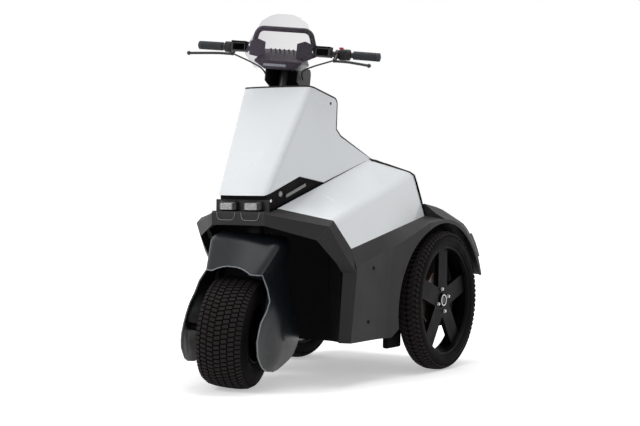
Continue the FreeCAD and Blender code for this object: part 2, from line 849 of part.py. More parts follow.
def archFrame():
    """The left half of the frame round the wheel's space, swept back and down to its foot."""
    seam = Vector(v.blockHalf, v.cowlTipForward, v.cowlTipHeight)
    rows = [
        (seam, Vector(v.blockHalf, v.blockFront, v.blockTop),
         Vector(v.blockHalf, v.blockFront + v.skin, v.blockFoot)),
        (Vector(v.cowlShoulderHalf, v.cowlShoulderForward, v.cowlShoulderHeight),
         Vector(v.archEdgeHalf, v.archEdgeForward, v.archEdgeHeight),
         Vector(v.archBendHalf, v.archBendForward, v.archBendHeight)),
        (Vector(v.cowlFootHalf, v.cowlFootForward, v.cowlFootHeight),
         Vector(v.archCheekHalf, v.archCheekForward, v.archCheekHeight),
         Vector(v.archInnerHalf, v.archInnerForward, v.archInnerHeight)),
        (Vector(v.archKneeHalf, v.archBack, v.archKneeHeight),
         Vector(v.archKneeHalf, v.archKneeForward, v.archKneeHeight),
         Vector(v.archInnerHalf, v.archKneeForward - v.archPillar, v.archKneeHeight)),
        (Vector(v.archKneeHalf, v.archBack, v.archSillHeight),
         Vector(v.archKneeHalf, v.archFootForward, v.archSillHeight),
         Vector(v.archInnerHalf, v.archFootForward - v.archPillar / 2, v.archSillHeight)),
    ]
    return loft([[back, edge, inner, inner + (back - edge)] for back, edge, inner in rows])


def sidePanelForm():
    """The left side panel from the cowl's foot to the fender, flaring out to the wheel's lip."""
    crease = lipCentre().z + v.lipRadius + v.creaseRise
    sections = []
    for along, creaseFlare, rise, footFlare in panel_shares:
        forward = mix(v.cowlFootForward, v.fenderStart, along)
        share = (forward - v.cowlFootForward) / (v.cowlHeelForward - v.cowlFootForward)
        top = mix(v.cowlFootHeight, v.cowlHeelHeight, share)
        half = mix(v.cowlFootHalf, v.cowlHeelHalf, share)
        sections.append([
            Vector(v.housingHalf, forward, top), Vector(half, forward, top),
            Vector(mix(v.panelHalf, v.lipHalf, creaseFlare), forward, mix(v.panelCrease, crease, rise)),
            Vector(mix(v.panelHalf, v.lipHalf, footFlare), forward, v.archSillHeight),
            Vector(v.housingHalf, forward, v.archSillHeight)])
    ridge = [(v.cowlFootForward, v.cowlFootHeight), (v.archKneeForward, v.archKneeHeight),
             (v.archFootForward, v.archSillHeight), (0, v.archSillHeight), (0, v.cowlFootHeight)]
    return faceted(sections, int(v.bendSteps)).cut(prismX(ridge, 0, v.lipHalf))


# Each row: share of the panel's length, flare of its crease, rise of its crease, flare of its foot.
panel_shares = [(0, 0, 0, 0), (0.297, 0.17, 0.30, 0), (0.536, 0.5, 0.545, 0.7),
                (0.804, 0.96, 0.93, 1), (1, 1, 1, 1)]


def lampBlock():
    outline = [(v.blockFront + v.skin, v.blockFoot), (v.blockFront, v.blockTop),
               (v.blockFront + v.skin, v.blockShelf), (v.blockBack - v.skin, v.blockShelf),
               (v.blockBack - v.skin, v.shieldFootHeight - v.creaseRise),
               (v.blockBack, v.shieldFootHeight - v.creaseRise), (v.blockBack, v.blockFoot)]
    return prismX(outline, -v.blockHalf, v.blockHalf)


def headlamps():
    low = v.headlampHeight - v.headlampTall / 2
    lamps = []
    for side in (-1, 1):
        start = Vector(side * v.headlampHalf - v.headlampWidth / 2,
                       v.blockBack - v.skin - v.headlampReach, low)
        lamps.append(box(start, start + Vector(v.headlampWidth, v.headlampReach, v.headlampTall)))
    return lamps


def sideLamp():
    """A long lens in the left slot, laid on the recessed face and along the shield's lower edge."""
    rise = (v.slotTopHeight - v.shieldFootHeight) / (v.slotTopForward - v.shieldFootForward)
    run = Vector(0, 1, rise).normalize()
    start = Vector(0, v.sideLampForward, v.sideLampHeight)
    up = Vector(0, -run.z, run.y)
    spots = [start - up * (v.sideLampTall / 2), start - up * (v.sideLampTall / 2) + run * v.sideLampLength,
             start + up * (v.sideLampTall / 2) + run * v.sideLampLength, start + up * (v.sideLampTall / 2)]
    bar = prismX([(spot.y, spot.z) for spot in spots], 0, v.archHalf)
    outer = spine(v.slotDepth - v.sideLampThick, v.blockFoot, v.slotTopHeight + v.slotDepth, v.cowlEndForward)
    inner = spine(v.slotDepth, v.blockFoot - v.slotDepth, v.slotTopHeight + 2 * v.slotDepth, v.cowlEndForward)
    return single(bar.common(outer).cut(inner))


def fenderRow(share):
    """One section of the left fender, from its start over the wheel to its tail, as (x, rise) pairs."""
    top = math.degrees(share * math.acos((v.fenderTail - lipCentre().z) / v.lipRadius))
    full = smooth(top / v.fenderBlend)
    heelHalf, heelRise = (v.cowlHeelHalf + v.lipHalf) / 2, (v.heelRise + v.creaseRise) / 2
    crown = mix(v.heelRise, v.crownRise, full)
    shoulder = mix(heelRise, v.shoulderRise, full)
    crownHalf, shoulderHalf = mix(v.cowlHeelHalf, v.crownHalf, full), mix(heelHalf, v.shoulderHalf, full)
    outer = [(v.bayHalf, v.heelRise - v.skin), (v.bayHalf, crown), (crownHalf, crown),
             (shoulderHalf, shoulder), (v.lipHalf, v.creaseRise), (v.lipHalf, 0)]
    inner = [(v.bayHalf + v.skin, v.heelRise - v.skin), (v.bayHalf + v.skin, crown - v.skin),
             (crownHalf - v.skin / 2, crown - v.skin), (shoulderHalf - v.skin, shoulder - v.skin),
             (v.lipHalf - v.skin, v.creaseRise - v.skin / 2), (v.lipHalf - v.skin, 0)]
    return outer, inner


def rearFender():
    centre = lipCentre()
    rows = int(v.fenderSteps)

    def spot(across, rise, share):
        radius = v.lipRadius + rise
        start = math.asin((v.fenderStart - centre.y) / radius)
        end = math.acos((v.fenderTail - centre.z) / radius)
        angle = mix(start, end, share)
        return Vector(across, centre.y + radius * math.sin(angle), centre.z + radius * math.cos(angle))
    grids = [[[spot(*point, row / rows) for point in fenderRow(row / rows)[side]] for row in range(rows + 1)]
             for side in (0, 1)]
    return skinned(*grids)


def wheelDrum(radius, start, end):
    centre = lipCentre()
    return Part.makeCylinder(radius, end - start, Vector(start, centre.y, centre.z), Vector(1, 0, 0))


def wheelHousing():
    """The left wall between the rider and the wheel, a channel that is open below for the arm."""
    def channel(inset, foot):
        start, end = v.bayHalf + inset, v.housingHalf - inset
        drum = wheelDrum(v.lipRadius + v.housingRise - inset, start, end)
        return drum.common(box(Vector(start, v.cowlEndForward + inset, foot),
                               Vector(end, v.deckEnd - inset, v.shieldTopHeight)))
    shell = channel(0, v.housingFoot).cut(channel(v.housingWall, v.housingFoot - v.overrun))
    axle = Vector(v.bayHalf + v.housingWall, v.wheelbase, v.rearTyreRadius)
    slot = Part.makeCylinder(v.axleRadius + v.liner, v.bayHalf, axle, Vector(1, 0, 0))
    hole = Part.makeCylinder(v.armThick / 2 + v.clearance, v.bayHalf,
                             caliperCentre() - Vector(v.armThick, 0, 0),
                             Vector(1, 0, 0))
    gate = box(Vector(armInner() - v.clearance, v.cowlEndForward - v.overrun, v.housingFoot - v.overrun),
               Vector(armInner() + v.armThick + v.clearance, v.cowlEndForward + v.housingWall + v.overrun,
                      v.armPivotHeight + v.armTall))
    return single(shell.cut(slot).cut(hole).cut(gate))


def tailLamp():
    """The left lens, a thin block on the fender's slope."""
    share = (v.tailLampHalf - v.crownHalf) / (v.shoulderHalf - v.crownHalf)
    inner, outer = v.lipRadius + mix(v.crownRise, v.shoulderRise, share), v.lipRadius + v.shoulderRise
    profile = [(v.tailLampHalf, inner), (v.shoulderHalf, outer), (v.shoulderHalf, outer + v.tailLampThick),
               (v.tailLampHalf, inner + v.tailLampThick)]
    ring = spinX(profile, lipCentre().y, lipCentre().z, 0, 90)
    return ring.common(box(Vector(0, lipCentre().y, v.tailLampFoot),
                           Vector(v.lipHalf, 2 * v.deckEnd, v.tailLampTop)))


def caliperCentre():
    reach = v.discRadius - v.caliperTall / 4
    angle = math.radians(v.caliperAngle)
    return Vector(v.housingHalf, v.wheelbase + reach * math.cos(angle),
                  v.rearTyreRadius + reach * math.sin(angle))


def swingArm():
    """The left arm: a plate from its pivot to the stub axle."""
    start = armInner()
    along = Vector(1, 0, 0)
    pivot = Vector(start, v.armPivotForward, v.armPivotHeight)
    axle = Vector(start, v.wheelbase, v.rearTyreRadius)
    run = (axle - pivot).normalize()
    side = Vector(0, -run.z, run.y) * (v.armTall / 2)
    plate = face([pivot + side, pivot - side, axle - side, axle + side]).extrude(along * v.armThick)
    ends = [Part.makeCylinder(v.armTall / 2, v.armThick, spot, along) for spot in (pivot, axle)]
    stub = Part.makeCylinder(v.axleRadius, v.halfTrack + v.spokeFace + v.hubCapThick - start, axle, along)
    pin = Part.makeCylinder(v.axleRadius, start + v.armThick - v.bayHalf,
                            pivot - along * (start - v.bayHalf), along)
    return single(plate.fuse(ends + [stub, pin]).removeSplitter())


def caliper():
    centre = caliperCentre()
    disc = Vector(v.halfTrack - v.discInset, v.wheelbase, v.rearTyreRadius)
    low = disc.x + v.discThick / 2 - v.caliperWidth / 2
    block = box(Vector(low, -v.caliperLength / 2, -v.caliperTall / 2),
                Vector(low + v.caliperWidth, v.caliperLength / 2, v.caliperTall / 2))
    uprights = [edge for edge in block.Edges if edge.BoundBox.XLength > v.caliperWidth / 2]
    block = block.makeFillet(v.caliperTall / 4, uprights)
    block.Placement = Placement(Vector(0, centre.y, centre.z), Rotation(Vector(1, 0, 0), v.caliperAngle - 90))
    start = armInner() + v.armThick
    pin = Part.makeCylinder(v.armThick / 2, low - start + v.skin,
                            Vector(start, centre.y, centre.z), Vector(1, 0, 0))
    gap = Part.makeCylinder(v.discRadius + v.skin, v.discThick + 2 * v.clearance,
                            disc - Vector(v.clearance, 0, 0), Vector(1, 0, 0))
    return single(block.fuse(pin).cut(gap))


def armInner():
    return v.bayHalf + v.housingWall * 2


def bodyPieces():
    body, shield = frontShield()
    feature("front_shield", single(shield.cut(stemBore())))
    outer = prismX(shieldOutline(v.liner), -v.archHalf, v.archHalf)
    inner = prismX(shieldOutline(0), -v.archHalf * 2, v.archHalf * 2)
    cap = body.common(outer).cut(inner)
    wall = box(Vector(-v.archHalf, v.cowlEndForward - v.liner, v.deckHeight - v.deckThick),
               Vector(v.archHalf, v.cowlEndForward, v.cowlEndHeight)).common(bay(v.liner))
    knee = cap.fuse(wall).cut(shield).cut(stemBore(v.stemRadius + 3 * v.liner)).removeSplitter()
    feature("knee_panel", single(knee))

    form = cowlForm()
    arch = archFrame()
    housing = wheelHousing()
    space = archSpace(v.skin, v.archRoof + v.skin)
    upright = spine(0, v.archKneeHeight, v.shieldTopHeight, v.cowlEndForward + v.bayHalf)
    form = form.cut(upright)
    form = form.cut(wheelDrum(v.lipRadius + v.housingRise + 2 * v.clearance, v.bayHalf, v.housingHalf))
    cowl = single(form.cut(bay(v.liner)).cut(space).cut(arch).cut(knee))
    pair("side_cowl", cowl)
    strip = bay(v.liner).cut(bay(0)).cut(knee)
    slope = (v.cowlHeelHeight - v.cowlFootHeight) / (v.cowlHeelForward - v.cowlFootForward)
    under = [(v.cowlEndForward - v.liner, v.deckHeight - v.deckThick),
             (v.cowlRearForward, v.deckHeight - v.deckThick),
             (v.cowlRearForward, v.cowlFootHeight + slope * (v.cowlRearForward - v.cowlFootForward)),
             (v.cowlEndForward - v.liner, v.cowlFootHeight
               + slope * (v.cowlEndForward - v.liner - v.cowlFootForward))]
    plate = strip.common(prismX(under, v.headTubeRadius, v.bayHalf))
    feature("bay_walls", both(single(form.common(strip).fuse(plate).removeSplitter())))
    pair("arch", arch)
    panel = sidePanelForm().cut(arch).cut(wheelSpace()).cut(cowl).cut(space)
    foot = [(v.lipForward - v.lipRadius - v.sillCut, v.archSillHeight),
            (v.lipForward, v.archSillHeight), (v.lipForward, v.archSillHeight + v.sillCut * 2),
            (v.lipForward - v.lipRadius + v.sillCut / 2, v.archSillHeight + v.sillCut)]
    panel = panel.cut(prismX(foot, 0, 2 * v.lipHalf))
    pair("side_panel", single(panel))
    pair("rear_fender", rearFender())
    feature("wheel_housings", both(housing))
    feature("swing_arms", both(swingArm()))
    feature("brake_calipers", both(caliper()))

    block = lampBlock()
    feature("lamp_block", block)
    feature("headlamps", Part.makeCompound(headlamps()))
    feature("side_lamps", both(sideLamp()))
    feature("tail_lamps", both(tailLamp()))

    liner = space.cut(archSpace(0, v.archRoof))
    front = v.archFootForward
    sweep = (v.archEdgeForward - v.blockFront) / (v.archEdgeHalf - v.blockHalf)
    for side in (-1, 1):
        plan = [(0, -2 * v.archBack), (side * 2 * v.archHalf, -2 * v.archBack),
                (side * 2 * v.archHalf, v.blockBack + sweep * (2 * v.archHalf - v.blockHalf)),
                (side * v.blockHalf, v.blockBack), (0, v.blockBack)]
        liner = liner.cut(prismZ(plan, 0, v.shieldTopHeight))
    liner = liner.cut(box(Vector(-2 * v.archHalf, -v.archBack, 0),
                          Vector(2 * v.archHalf, front + v.archPillar, v.archRoof - v.overrun)))
    liner = liner.cut(arch).cut(mirrored(arch)).cut(block).cut(stemBore())
    feature("wheel_arch_liner", single(liner))

    back = v.cowlEndForward - v.liner
    low = v.archSillHeight + v.bellyThick
    under = [(v.blockBack, v.archRoof + v.skin), (v.archBack + v.skin, v.archRoof + v.skin),
             (v.archBack + v.skin, low), (back, low), (back, seamHeight(back)),
              (v.slotRearForward, v.slotRearHeight),
             (v.slotTopForward, v.slotTopHeight), (v.blockBack, v.shieldFootHeight)]
    core = spine(v.slotDepth, low, v.shieldTopHeight, back).common(prismX(under, -v.archHalf, v.archHalf))
    base = box(Vector(-v.bayHalf, v.archBack + v.skin, low), Vector(v.bayHalf, back, v.cowlFootHeight))
    cell = box(Vector(-v.batteryWidth / 2, v.batteryForward, low + v.liner),
               Vector(v.batteryWidth / 2, v.batteryForward + v.batteryLength,
                       low + v.liner + v.batteryHeight))
    chassis = core.fuse(base).cut(cell).cut(shield).cut(cowl).cut(mirrored(cowl)).cut(stemBore())
    feature("chassis", single(chassis.cut(block).cut(knee)))
    battery = primitive("Part::Box", "battery_block", Length="Sizes.batteryWidth",
                        Width="Sizes.batteryLength",
                        Height="Sizes.batteryHeight")
    place(battery, "0 - Sizes.batteryWidth / 2", "Sizes.batteryForward",
          "Sizes.archSillHeight + Sizes.bellyThick + Sizes.liner")
    node(battery, "battery")
    tube = rod(axisAt(v.archRoof - v.stemRadius), axisAt(v.headTubeTop), v.headTubeRadius)
    tube = tube.cut(stemBore(v.stemRadius + v.clearance))
    feature("head_tube", tube)

    belly = primitive("Part::Box", "belly_plate", Length="2 * Sizes.bayHalf",
                      Width="Sizes.cowlEndForward - Sizes.liner - Sizes.archBack - Sizes.skin",
                      Height="Sizes.bellyThick")
    place(belly, "0 - Sizes.bayHalf", "Sizes.archBack + Sizes.skin", "Sizes.archSillHeight")
    node(belly, "belly_pan")
    deck = doc.addObject("PartDesign::Body", "deck_plate")
    left = [("Sizes.bayFrontHalf", "Sizes.cowlEndForward"), ("Sizes.cowlRearHalf", "Sizes.cowlRearForward"),
            ("Sizes.bayHalf", "Sizes.cowlRearForward"), ("Sizes.bayHalf", "Sizes.deckEnd")]
    plan = outlineSketch(deck, "deck_outline", "XY_Plane", left + [("0 - " + x, y) for x, y in left[::-1]])
    pad = deck.newObject("PartDesign::Pad", "deck_pad")
    pad.Profile = plan
    pad.setExpression("Length", "Sizes.deckThick")
    place(deck, "0", "0", "Sizes.deckHeight - Sizes.deckThick")
    node(deck, "deck")


# Steering pieces, drawn with the steering straight ahead
def hoodRow(share, fold, inset):
    """One row round the hood: share runs from its lip up to its top, and fold in over the top's edge."""
    round_ = v.hoodCrease - inset
    turn = fold * math.pi / 2
    tuck = round_ * (1 - math.cos(turn)) + inset
    half = mix(v.legTopHalf, v.hoodTopHalf, share) - tuck
    points = []
    columns = int(v.fenderSteps)
    for column in range(columns + 1):
        along = column / columns
        taper = (v.legTopHalf - v.hoodLipHalf) * (1 - share) * smooth(2 * along - 1)
        points.append((half - taper, along, 0))
    corner = round_ * (1 - fold * hoodCorner_share)
    edge = points[-1][0]
    for step in range(1, int(v.bendSteps)):
        angle = step / v.bendSteps * math.pi / 2
        points.append((edge - corner + corner * math.cos(angle), 1, corner * math.sin(angle)))
    for step in range(int(v.bendSteps) + 1):
        points.append(((edge - corner) * (1 - step / v.bendSteps), 1, corner))
    row = []
    for half, along, ahead in points:
        middle = 1 - (half / (edge - corner)) ** 2 if ahead == corner else 0
        low = v.hoodLipHeight + v.hoodLipRise * middle
        height = mix(low, v.hoodTopHeight - v.hoodCrease, share) + round_ * math.sin(turn)
        climb = (height - v.hoodLipHeight) / v.hoodTall
        front = mix(v.hoodLipForward, v.hoodTopForward, climb) + tuck - v.hoodBulge * middle
        row.append(Vector(half, mix(v.hoodBack, front + corner, along) - ahead, height))
    return row + [Vector(-spot.x, spot.y, spot.z) for spot in row[-2::-1]]


# How much of the hood's corner radius is lost where its top is reached.
hoodCorner_share = 0.5


# Rows of the fender's legs: share of the height up to the lip, fore and aft edges as shares of the
# legs' reach, and how far the row stands out between the lip's half width and the foot's.
leg_shares = [(0.873, -0.45, 0.90, 0.4), (0.745, -0.45, 0.972, 0.85), (0.645, -0.65, 1.04, 0.93),
              (0.544, -0.856, 1.111, 0.8), (0.45, -0.94, 1.2, 0.8), (0.354, -1, 1.25, 0.8),
              (0.28, -0.97, 1.25, 0.85), (0.2, -0.917, 1.22, 0.9), (0.115, -0.74, 1.17, 0.95),
              (0.07, -0.62, 0.95, 1), (0.03, -0.42, 0.6, 1), (0, 0, 0.25, 1)]

# How much less the dome falls off rearwards than in the other directions.
domeTail_share = 0.3


def legRow(row, inset, count):
    """The left leg's points at one height, with the dome over the axle, in the hood's own columns."""
    height, fore, aft, flare = row
    points = []
    for column in range(count):
        along = min(1, column / v.fenderSteps)
        spot = Vector(0, mix(aft, fore, along) * v.legReach, mix(v.legFoot, v.hoodLipHeight, height))
        away = math.hypot(spot.y * (domeTail_share if spot.y > 0 else 1), spot.z - v.frontAxleHeight)
        dome = smooth((v.domeRadius - away) / (v.domeRadius - v.domeTopRadius))
        spot.x = mix(mix(v.legTopHalf, v.legFootHalf, flare), v.domeHalf, dome) - inset
        points.append(spot)
    return points


def frontFender():
    """Hood and legs as one thin moulding."""
    grids = []
    steps = int(v.bendSteps)
    for inset in (0, v.hoodSkin):
        rows = [hoodRow(step / steps, 0, inset) for step in range(steps + 1)]
        rows += [hoodRow(1, fold / steps, inset) for fold in range(1, steps + 1)]
        count = len(rows[0])
        rows.append([Vector(0, spot.y, spot.z) for spot in rows[-1]])
        legs = []
        for row in leg_shares:
            left = legRow(row, inset, count // 2 + 1)
            legs.append(left + [Vector(-spot.x, spot.y, spot.z) for spot in left[-2::-1]])
        grids.append(rows[::-1] + legs)
    hoodRows = len(grids[0]) - len(leg_shares) - 1
    side = int(v.fenderSteps)

    def keep(row, column):
        return row < hoodRows or column < side or column >= count - 1 - side
    return skinned(*grids, keep, True)


def fork():
    """The crown, two legs and the front axle."""
    along = Vector(1, 0, 0)
    axle = Vector(0, 0, v.frontAxleHeight)
    crown = axisAt(v.crownHeight)
    half = v.forkHalf
    plate = box(Vector(-half, -v.forkWide / 2, 0), Vector(half, v.forkWide / 2, v.crownThick))
    plate.Placement = Placement(crown, Rotation(Vector(1, 0, 0), -v.rake))
    wide = v.forkWide / 2
    leg = face([Vector(half - v.forkThick, -wide, v.frontAxleHeight),
                Vector(half - v.forkThick, wide, v.frontAxleHeight),
                Vector(half - v.forkThick, crown.y + wide, v.crownHeight + v.crownThick / 2),
                Vector(half - v.forkThick, crown.y - wide, v.crownHeight + v.crownThick / 2)])
    leg = leg.extrude(along * v.forkThick)
    eye = Part.makeCylinder(wide, v.forkThick, axle + along * (half - v.forkThick), along)
    reach = v.domeHalf - v.hoodSkin - 2 * v.clearance
    pin = Part.makeCylinder(v.axleRadius, 2 * reach, axle - along * reach, along)
    return single(plate.fuse([leg, mirrored(leg), eye, mirrored(eye), pin]).removeSplitter())


# How far back the bar is where its rise ends, as a share of its whole sweep.
barSweep_share = 0.4


def barPoints():
    height, forward = v.barHeight, v.barForward
    clamp = axisAt(v.clampHeight)
    right = [Vector(v.barRiseHalf / 2, clamp.y, clamp.z),
             Vector(v.barRiseHalf, mix(clamp.y, forward, barSweep_share), height),
             Vector(v.barGripHalf, forward - v.barRadius, height), Vector(v.barEndHalf, forward, height)]
    return [Vector(-spot.x, spot.y, spot.z) for spot in right[::-1]] + right


def barSpot(half):
    """The point of the left grip section of the bar at a distance from the middle."""
    share = (half - v.barGripHalf) / (v.barEndHalf - v.barGripHalf)
    return Vector(half, mix(v.barForward - v.barRadius, v.barForward, share), v.barHeight)


def stemCover():
    slope = math.tan(rake)
    skin = v.skin

    def form(inset):
        top = v.bootFoot + v.bootTall - inset
        back = v.bootBack - inset
        outline = [(v.bootFront - 2 * inset, top), (back, top),
                   (back, v.bootFoot - (v.bootBack - v.bootFront) * slope - inset),
                   (v.bootFront - 2 * inset, v.bootFoot + 2 * inset * slope - inset)]
        return prismX(rounded(outline, 1, v.bootRound - inset), inset - v.bootHalf, v.bootHalf - inset)
    cover = form(0).cut(form(skin))
    hole = rod(axisAt(v.bootFoot), axisAt(v.clampHeight), v.stemRadius + v.clearance)
    return single(cover.cut(hole))


def instrumentPod():
    """The display's housing: a side outline and a front outline in common."""
    top = v.podFoot + v.podTall
    side = [(v.podForward, v.podFoot), (v.podFront, v.podFoot + v.podBrow), (v.podFront, top - v.podBrow * 2),
            (v.hoopLegForward, top), (v.podBack, top), (v.podBack, v.podFoot)]
    front = [(v.podFootHalf, v.podFoot), (v.podHalf, v.podFoot + v.podBrow), (v.podHalf, top - v.podBrow * 2),
             (v.podTopHalf, top)]
    front = front + [(-x, z) for x, z in front[::-1]]
    return prismX(side, -v.podHalf, v.podHalf).common(prismY(front, v.podFront, v.podBack))


def windscreen():
    foot = Vector(0, v.screenFront, v.screenFoot)
    run = Vector(0, v.screenTopForward - v.screenFront, v.screenTop - v.screenFoot).normalize()
    ahead = Vector(0, -run.z, run.y)
    waist = v.screenFront + run.y / run.z * v.screenWaistRise
    sag = (v.screenSideForward - waist) * run.z
    radius = (v.screenHalf ** 2 + sag ** 2) / (2 * sag)
    low = foot - run * v.screenSweep - ahead * radius
    length = v.screenTop - v.screenFoot + 4 * v.screenSweep
    shell = Part.makeCylinder(radius, length, low, run)
    shell = shell.cut(Part.makeCylinder(radius - v.screenThick, length, low, run))
    right = [(0, v.screenFoot), (v.screenFootHalf, v.screenFoot),
             (v.screenHalf, v.screenFoot + v.screenWaistRise),
             (v.screenHalf - v.hoopRadius / 2, v.screenFoot + v.screenKneeRise),
             (v.screenTopHalf, v.screenTop - v.screenShoulderDrop),
             (v.screenTopHalf * 2 / 3, v.screenTop - v.screenShoulderDrop / 3),
             (v.screenTopHalf / 3, v.screenTop), (0, v.screenTop)]
    outline = right + [(-x, z) for x, z in right[-2:0:-1]]
    return single(shell.common(prismY(outline, 0, v.barForward)))


def hoop():
    """The tube round the screen: up from each side of the bar, forward and over."""
    points = [Vector(v.hoopLegHalf, v.barForward, v.hoopLegHeight),
              Vector(v.hoopLegHalf, v.hoopLegForward, v.hoopLegHeight),
              Vector(v.hoopHalf, v.hoopForward, v.hoopHeight)]
    points = points + [Vector(-spot.x, spot.y, spot.z) for spot in points[::-1]]
    return tube(points, v.hoopRadius, [v.hoopBend] * (len(points) - 2))


def brakeLever(bar):
    """The left lever with its clamp on the bar and its fluid reservoir."""
    perch = rod(barSpot(v.perchHalf), barSpot(v.perchHalf + v.perchWidth), v.perchRadius)
    start = barSpot(v.perchHalf + v.perchWidth / 2) + Vector(0, -v.barRadius, 0)
    root = Vector(start.x, v.leverForward, v.leverHeight)
    arm = rod(start, root, v.leverRadius * 3 / 2)
    middle = Vector(v.barGripHalf, v.leverForward - v.leverRadius, v.leverHeight)
    tip = Vector(v.leverEndHalf, v.leverEndForward, v.leverHeight - v.leverEndDrop)
    blade = tube([root, middle, tip], v.leverRadius)
    ball = Part.makeSphere(v.leverBall, tip)
    cup = Vector(v.reservoirHalf, v.reservoirForward, v.barHeight + v.reservoirRise)
    size = Vector(v.reservoirWidth, v.reservoirDepth, v.reservoirTall)
    link = rod(cup, start, v.leverRadius * 3 / 2)
    return perch.fuse([arm, blade, ball, box(cup - size / 2, cup + size / 2), link]).cut(bar)


def brakeHose():
    """The left hose, from its lever's clamp down beside the stem."""
    start = Vector(v.perchHalf + v.perchWidth / 2 - v.leverRadius * 3 / 2 - v.clearance, v.leverForward,
                   v.leverHeight)
    top = v.bootFoot + v.bootTall
    points = [start, Vector((v.bootHalf + v.perchHalf) / 2, v.leverForward, v.leverHeight - v.hoseSag / 2),
              Vector(v.bootHalf + v.liner * 2, v.bootFront, top - v.hoseSag / 3),
              Vector(v.bootHalf + v.liner, v.bootFront + v.hoseSag, top - v.hoseSag)]
    radii = largestRadii(points)
    print("brake hose radii", [round(radius) for radius in radii])
    return tube(points, v.hoseRadius, radii)


def steeringPieces():
    fender = frontFender()
    frame = fork()
    stem = rod(axisAt(v.crownHeight), axisAt(v.stemTop), v.stemRadius)
    frame = frame.cut(stem)
    fender = fender.cut(rod(axisAt(v.crownHeight), axisAt(v.archRoof), v.headTubeRadius + v.liner))
    feature("front_fender", single(fender), steered)
    feature("fork", single(frame), steered)
    collar = rod(axisAt(v.hoodTopHeight - v.liner), axisAt(v.archRoof - v.stemRadius - v.liner),
                 v.headTubeRadius)
    points = barPoints()
    bar = tube(points, v.barRadius, [v.barRadius * 3] * (len(points) - 2))
    clampLow, clampHigh = axisAt(v.stemTop - v.barRadius * 2), axisAt(v.stemTop + v.barRadius * 2)
    clamp = rod(clampLow, clampHigh, v.stemRadius + v.barRadius / 2).cut(bar)
    column = single(stem.fuse([collar, clamp]).cut(bar).removeSplitter())
    feature("steering_stem", column, steered)
    feature("handlebar", bar, steered)
    grips = []
    for side in (-1, 1):
        inner = Vector(side * v.barGripHalf, v.barForward - v.barRadius, v.barHeight)
        outer = Vector(side * v.barEndHalf, v.barForward, v.barHeight)
        run = (outer - inner).normalize()
        grips.append(rod(inner + run * v.liner, outer + run * v.skin, v.gripRadius).cut(bar))
    feature("grips", Part.makeCompound([single(grip) for grip in grips]), steered)

    pod = instrumentPod()
    feature("stem_cover", single(stemCover().cut(pod)), steered)
    feature("instrument_pod", single(pod.cut(stem).cut(clamp)), steered)
    feature("windscreen", windscreen(), steered)
    ring = hoop()
    ring = single(ring.cut(bar))
    brackets = []
    for side in (-1, 1):
        inner = side * v.bracketHalf
        outline = [(inner, v.bracketFoot), (inner + side * v.bracketWidth, v.bracketFoot + v.barRadius),
                   (inner + side * v.bracketWidth, v.bracketFoot + v.bracketTall - v.barRadius),
                   (inner + side * v.bracketWidth / 2, v.bracketFoot + v.bracketTall),
                   (inner, v.bracketFoot + v.bracketTall - v.barRadius)]
        plate = prismY(outline, v.bracketForward, v.bracketForward + v.skin)
        stay = box(Vector(side * (v.bracketHalf + v.liner) - v.liner, v.bracketForward, v.bracketFoot),
                   Vector(side * (v.bracketHalf + v.liner) + v.liner, v.barForward,
                          v.bracketFoot + v.liner * 2))
        brackets.append(single(plate.fuse(stay).cut(bar).cut(pod).cut(ring).removeSplitter()))
    feature("screen_brackets", Part.makeCompound(brackets), steered)
    feature("hoop", ring, steered)
    levers = single(brakeLever(bar))
    feature("brake_levers", both(levers), steered)
    switch = rod(barSpot(v.switchHalf - v.switchWidth / 2), barSpot(v.switchHalf + v.switchWidth / 2),
                 v.switchRadius)
    grip = grips[1]
    feature("switch_pods", both(single(switch.cut(bar).cut(grip).cut(levers))), steered)
    feature("brake_hoses", both(brakeHose()), steered)


frontWheel()
rearWheel("left", 1)
rearWheel("right", -1)
bodyPieces()
steeringPieces()

doc.recompute()
for item in doc.Objects:
    if "Invalid" in item.State or "Error" in item.State:
        raise RuntimeError(f"{item.Name} failed: {item.State}")
for name, item in nodes.items():
    if item.Shape.isNull() or not item.Shape.isValid():
        raise RuntimeError(f"{name} has no valid shape")
os.makedirs("parts", exist_ok=True)
for name, item in nodes.items():
    item.Shape.exportStep(f"parts/{name}.step")
    print(name, len(item.Shape.Solids), round(item.Shape.Volume))
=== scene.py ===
import bmesh
import bpy
import json
import math
from mathutils import Matrix, Vector
from mathutils.bvhtree import BVHTree

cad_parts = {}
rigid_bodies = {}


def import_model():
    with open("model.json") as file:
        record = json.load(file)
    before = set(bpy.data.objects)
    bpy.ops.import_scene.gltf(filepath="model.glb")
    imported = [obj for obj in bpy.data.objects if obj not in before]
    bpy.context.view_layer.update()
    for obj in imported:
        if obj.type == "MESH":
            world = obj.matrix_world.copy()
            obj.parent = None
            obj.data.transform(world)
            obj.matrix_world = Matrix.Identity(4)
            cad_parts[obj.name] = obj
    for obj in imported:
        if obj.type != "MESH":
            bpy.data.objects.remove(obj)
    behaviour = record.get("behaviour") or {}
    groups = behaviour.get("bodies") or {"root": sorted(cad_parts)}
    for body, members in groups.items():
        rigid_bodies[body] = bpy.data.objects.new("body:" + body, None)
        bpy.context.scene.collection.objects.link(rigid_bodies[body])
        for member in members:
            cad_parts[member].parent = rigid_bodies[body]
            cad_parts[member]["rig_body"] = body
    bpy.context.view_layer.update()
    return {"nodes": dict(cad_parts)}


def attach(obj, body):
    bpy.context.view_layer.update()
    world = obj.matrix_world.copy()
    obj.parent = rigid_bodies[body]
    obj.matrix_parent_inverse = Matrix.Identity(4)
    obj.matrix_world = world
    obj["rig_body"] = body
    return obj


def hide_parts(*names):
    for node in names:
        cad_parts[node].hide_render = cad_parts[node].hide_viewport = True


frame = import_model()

nodes = frame["nodes"]
print("frame loaded:", len(nodes), "nodes")


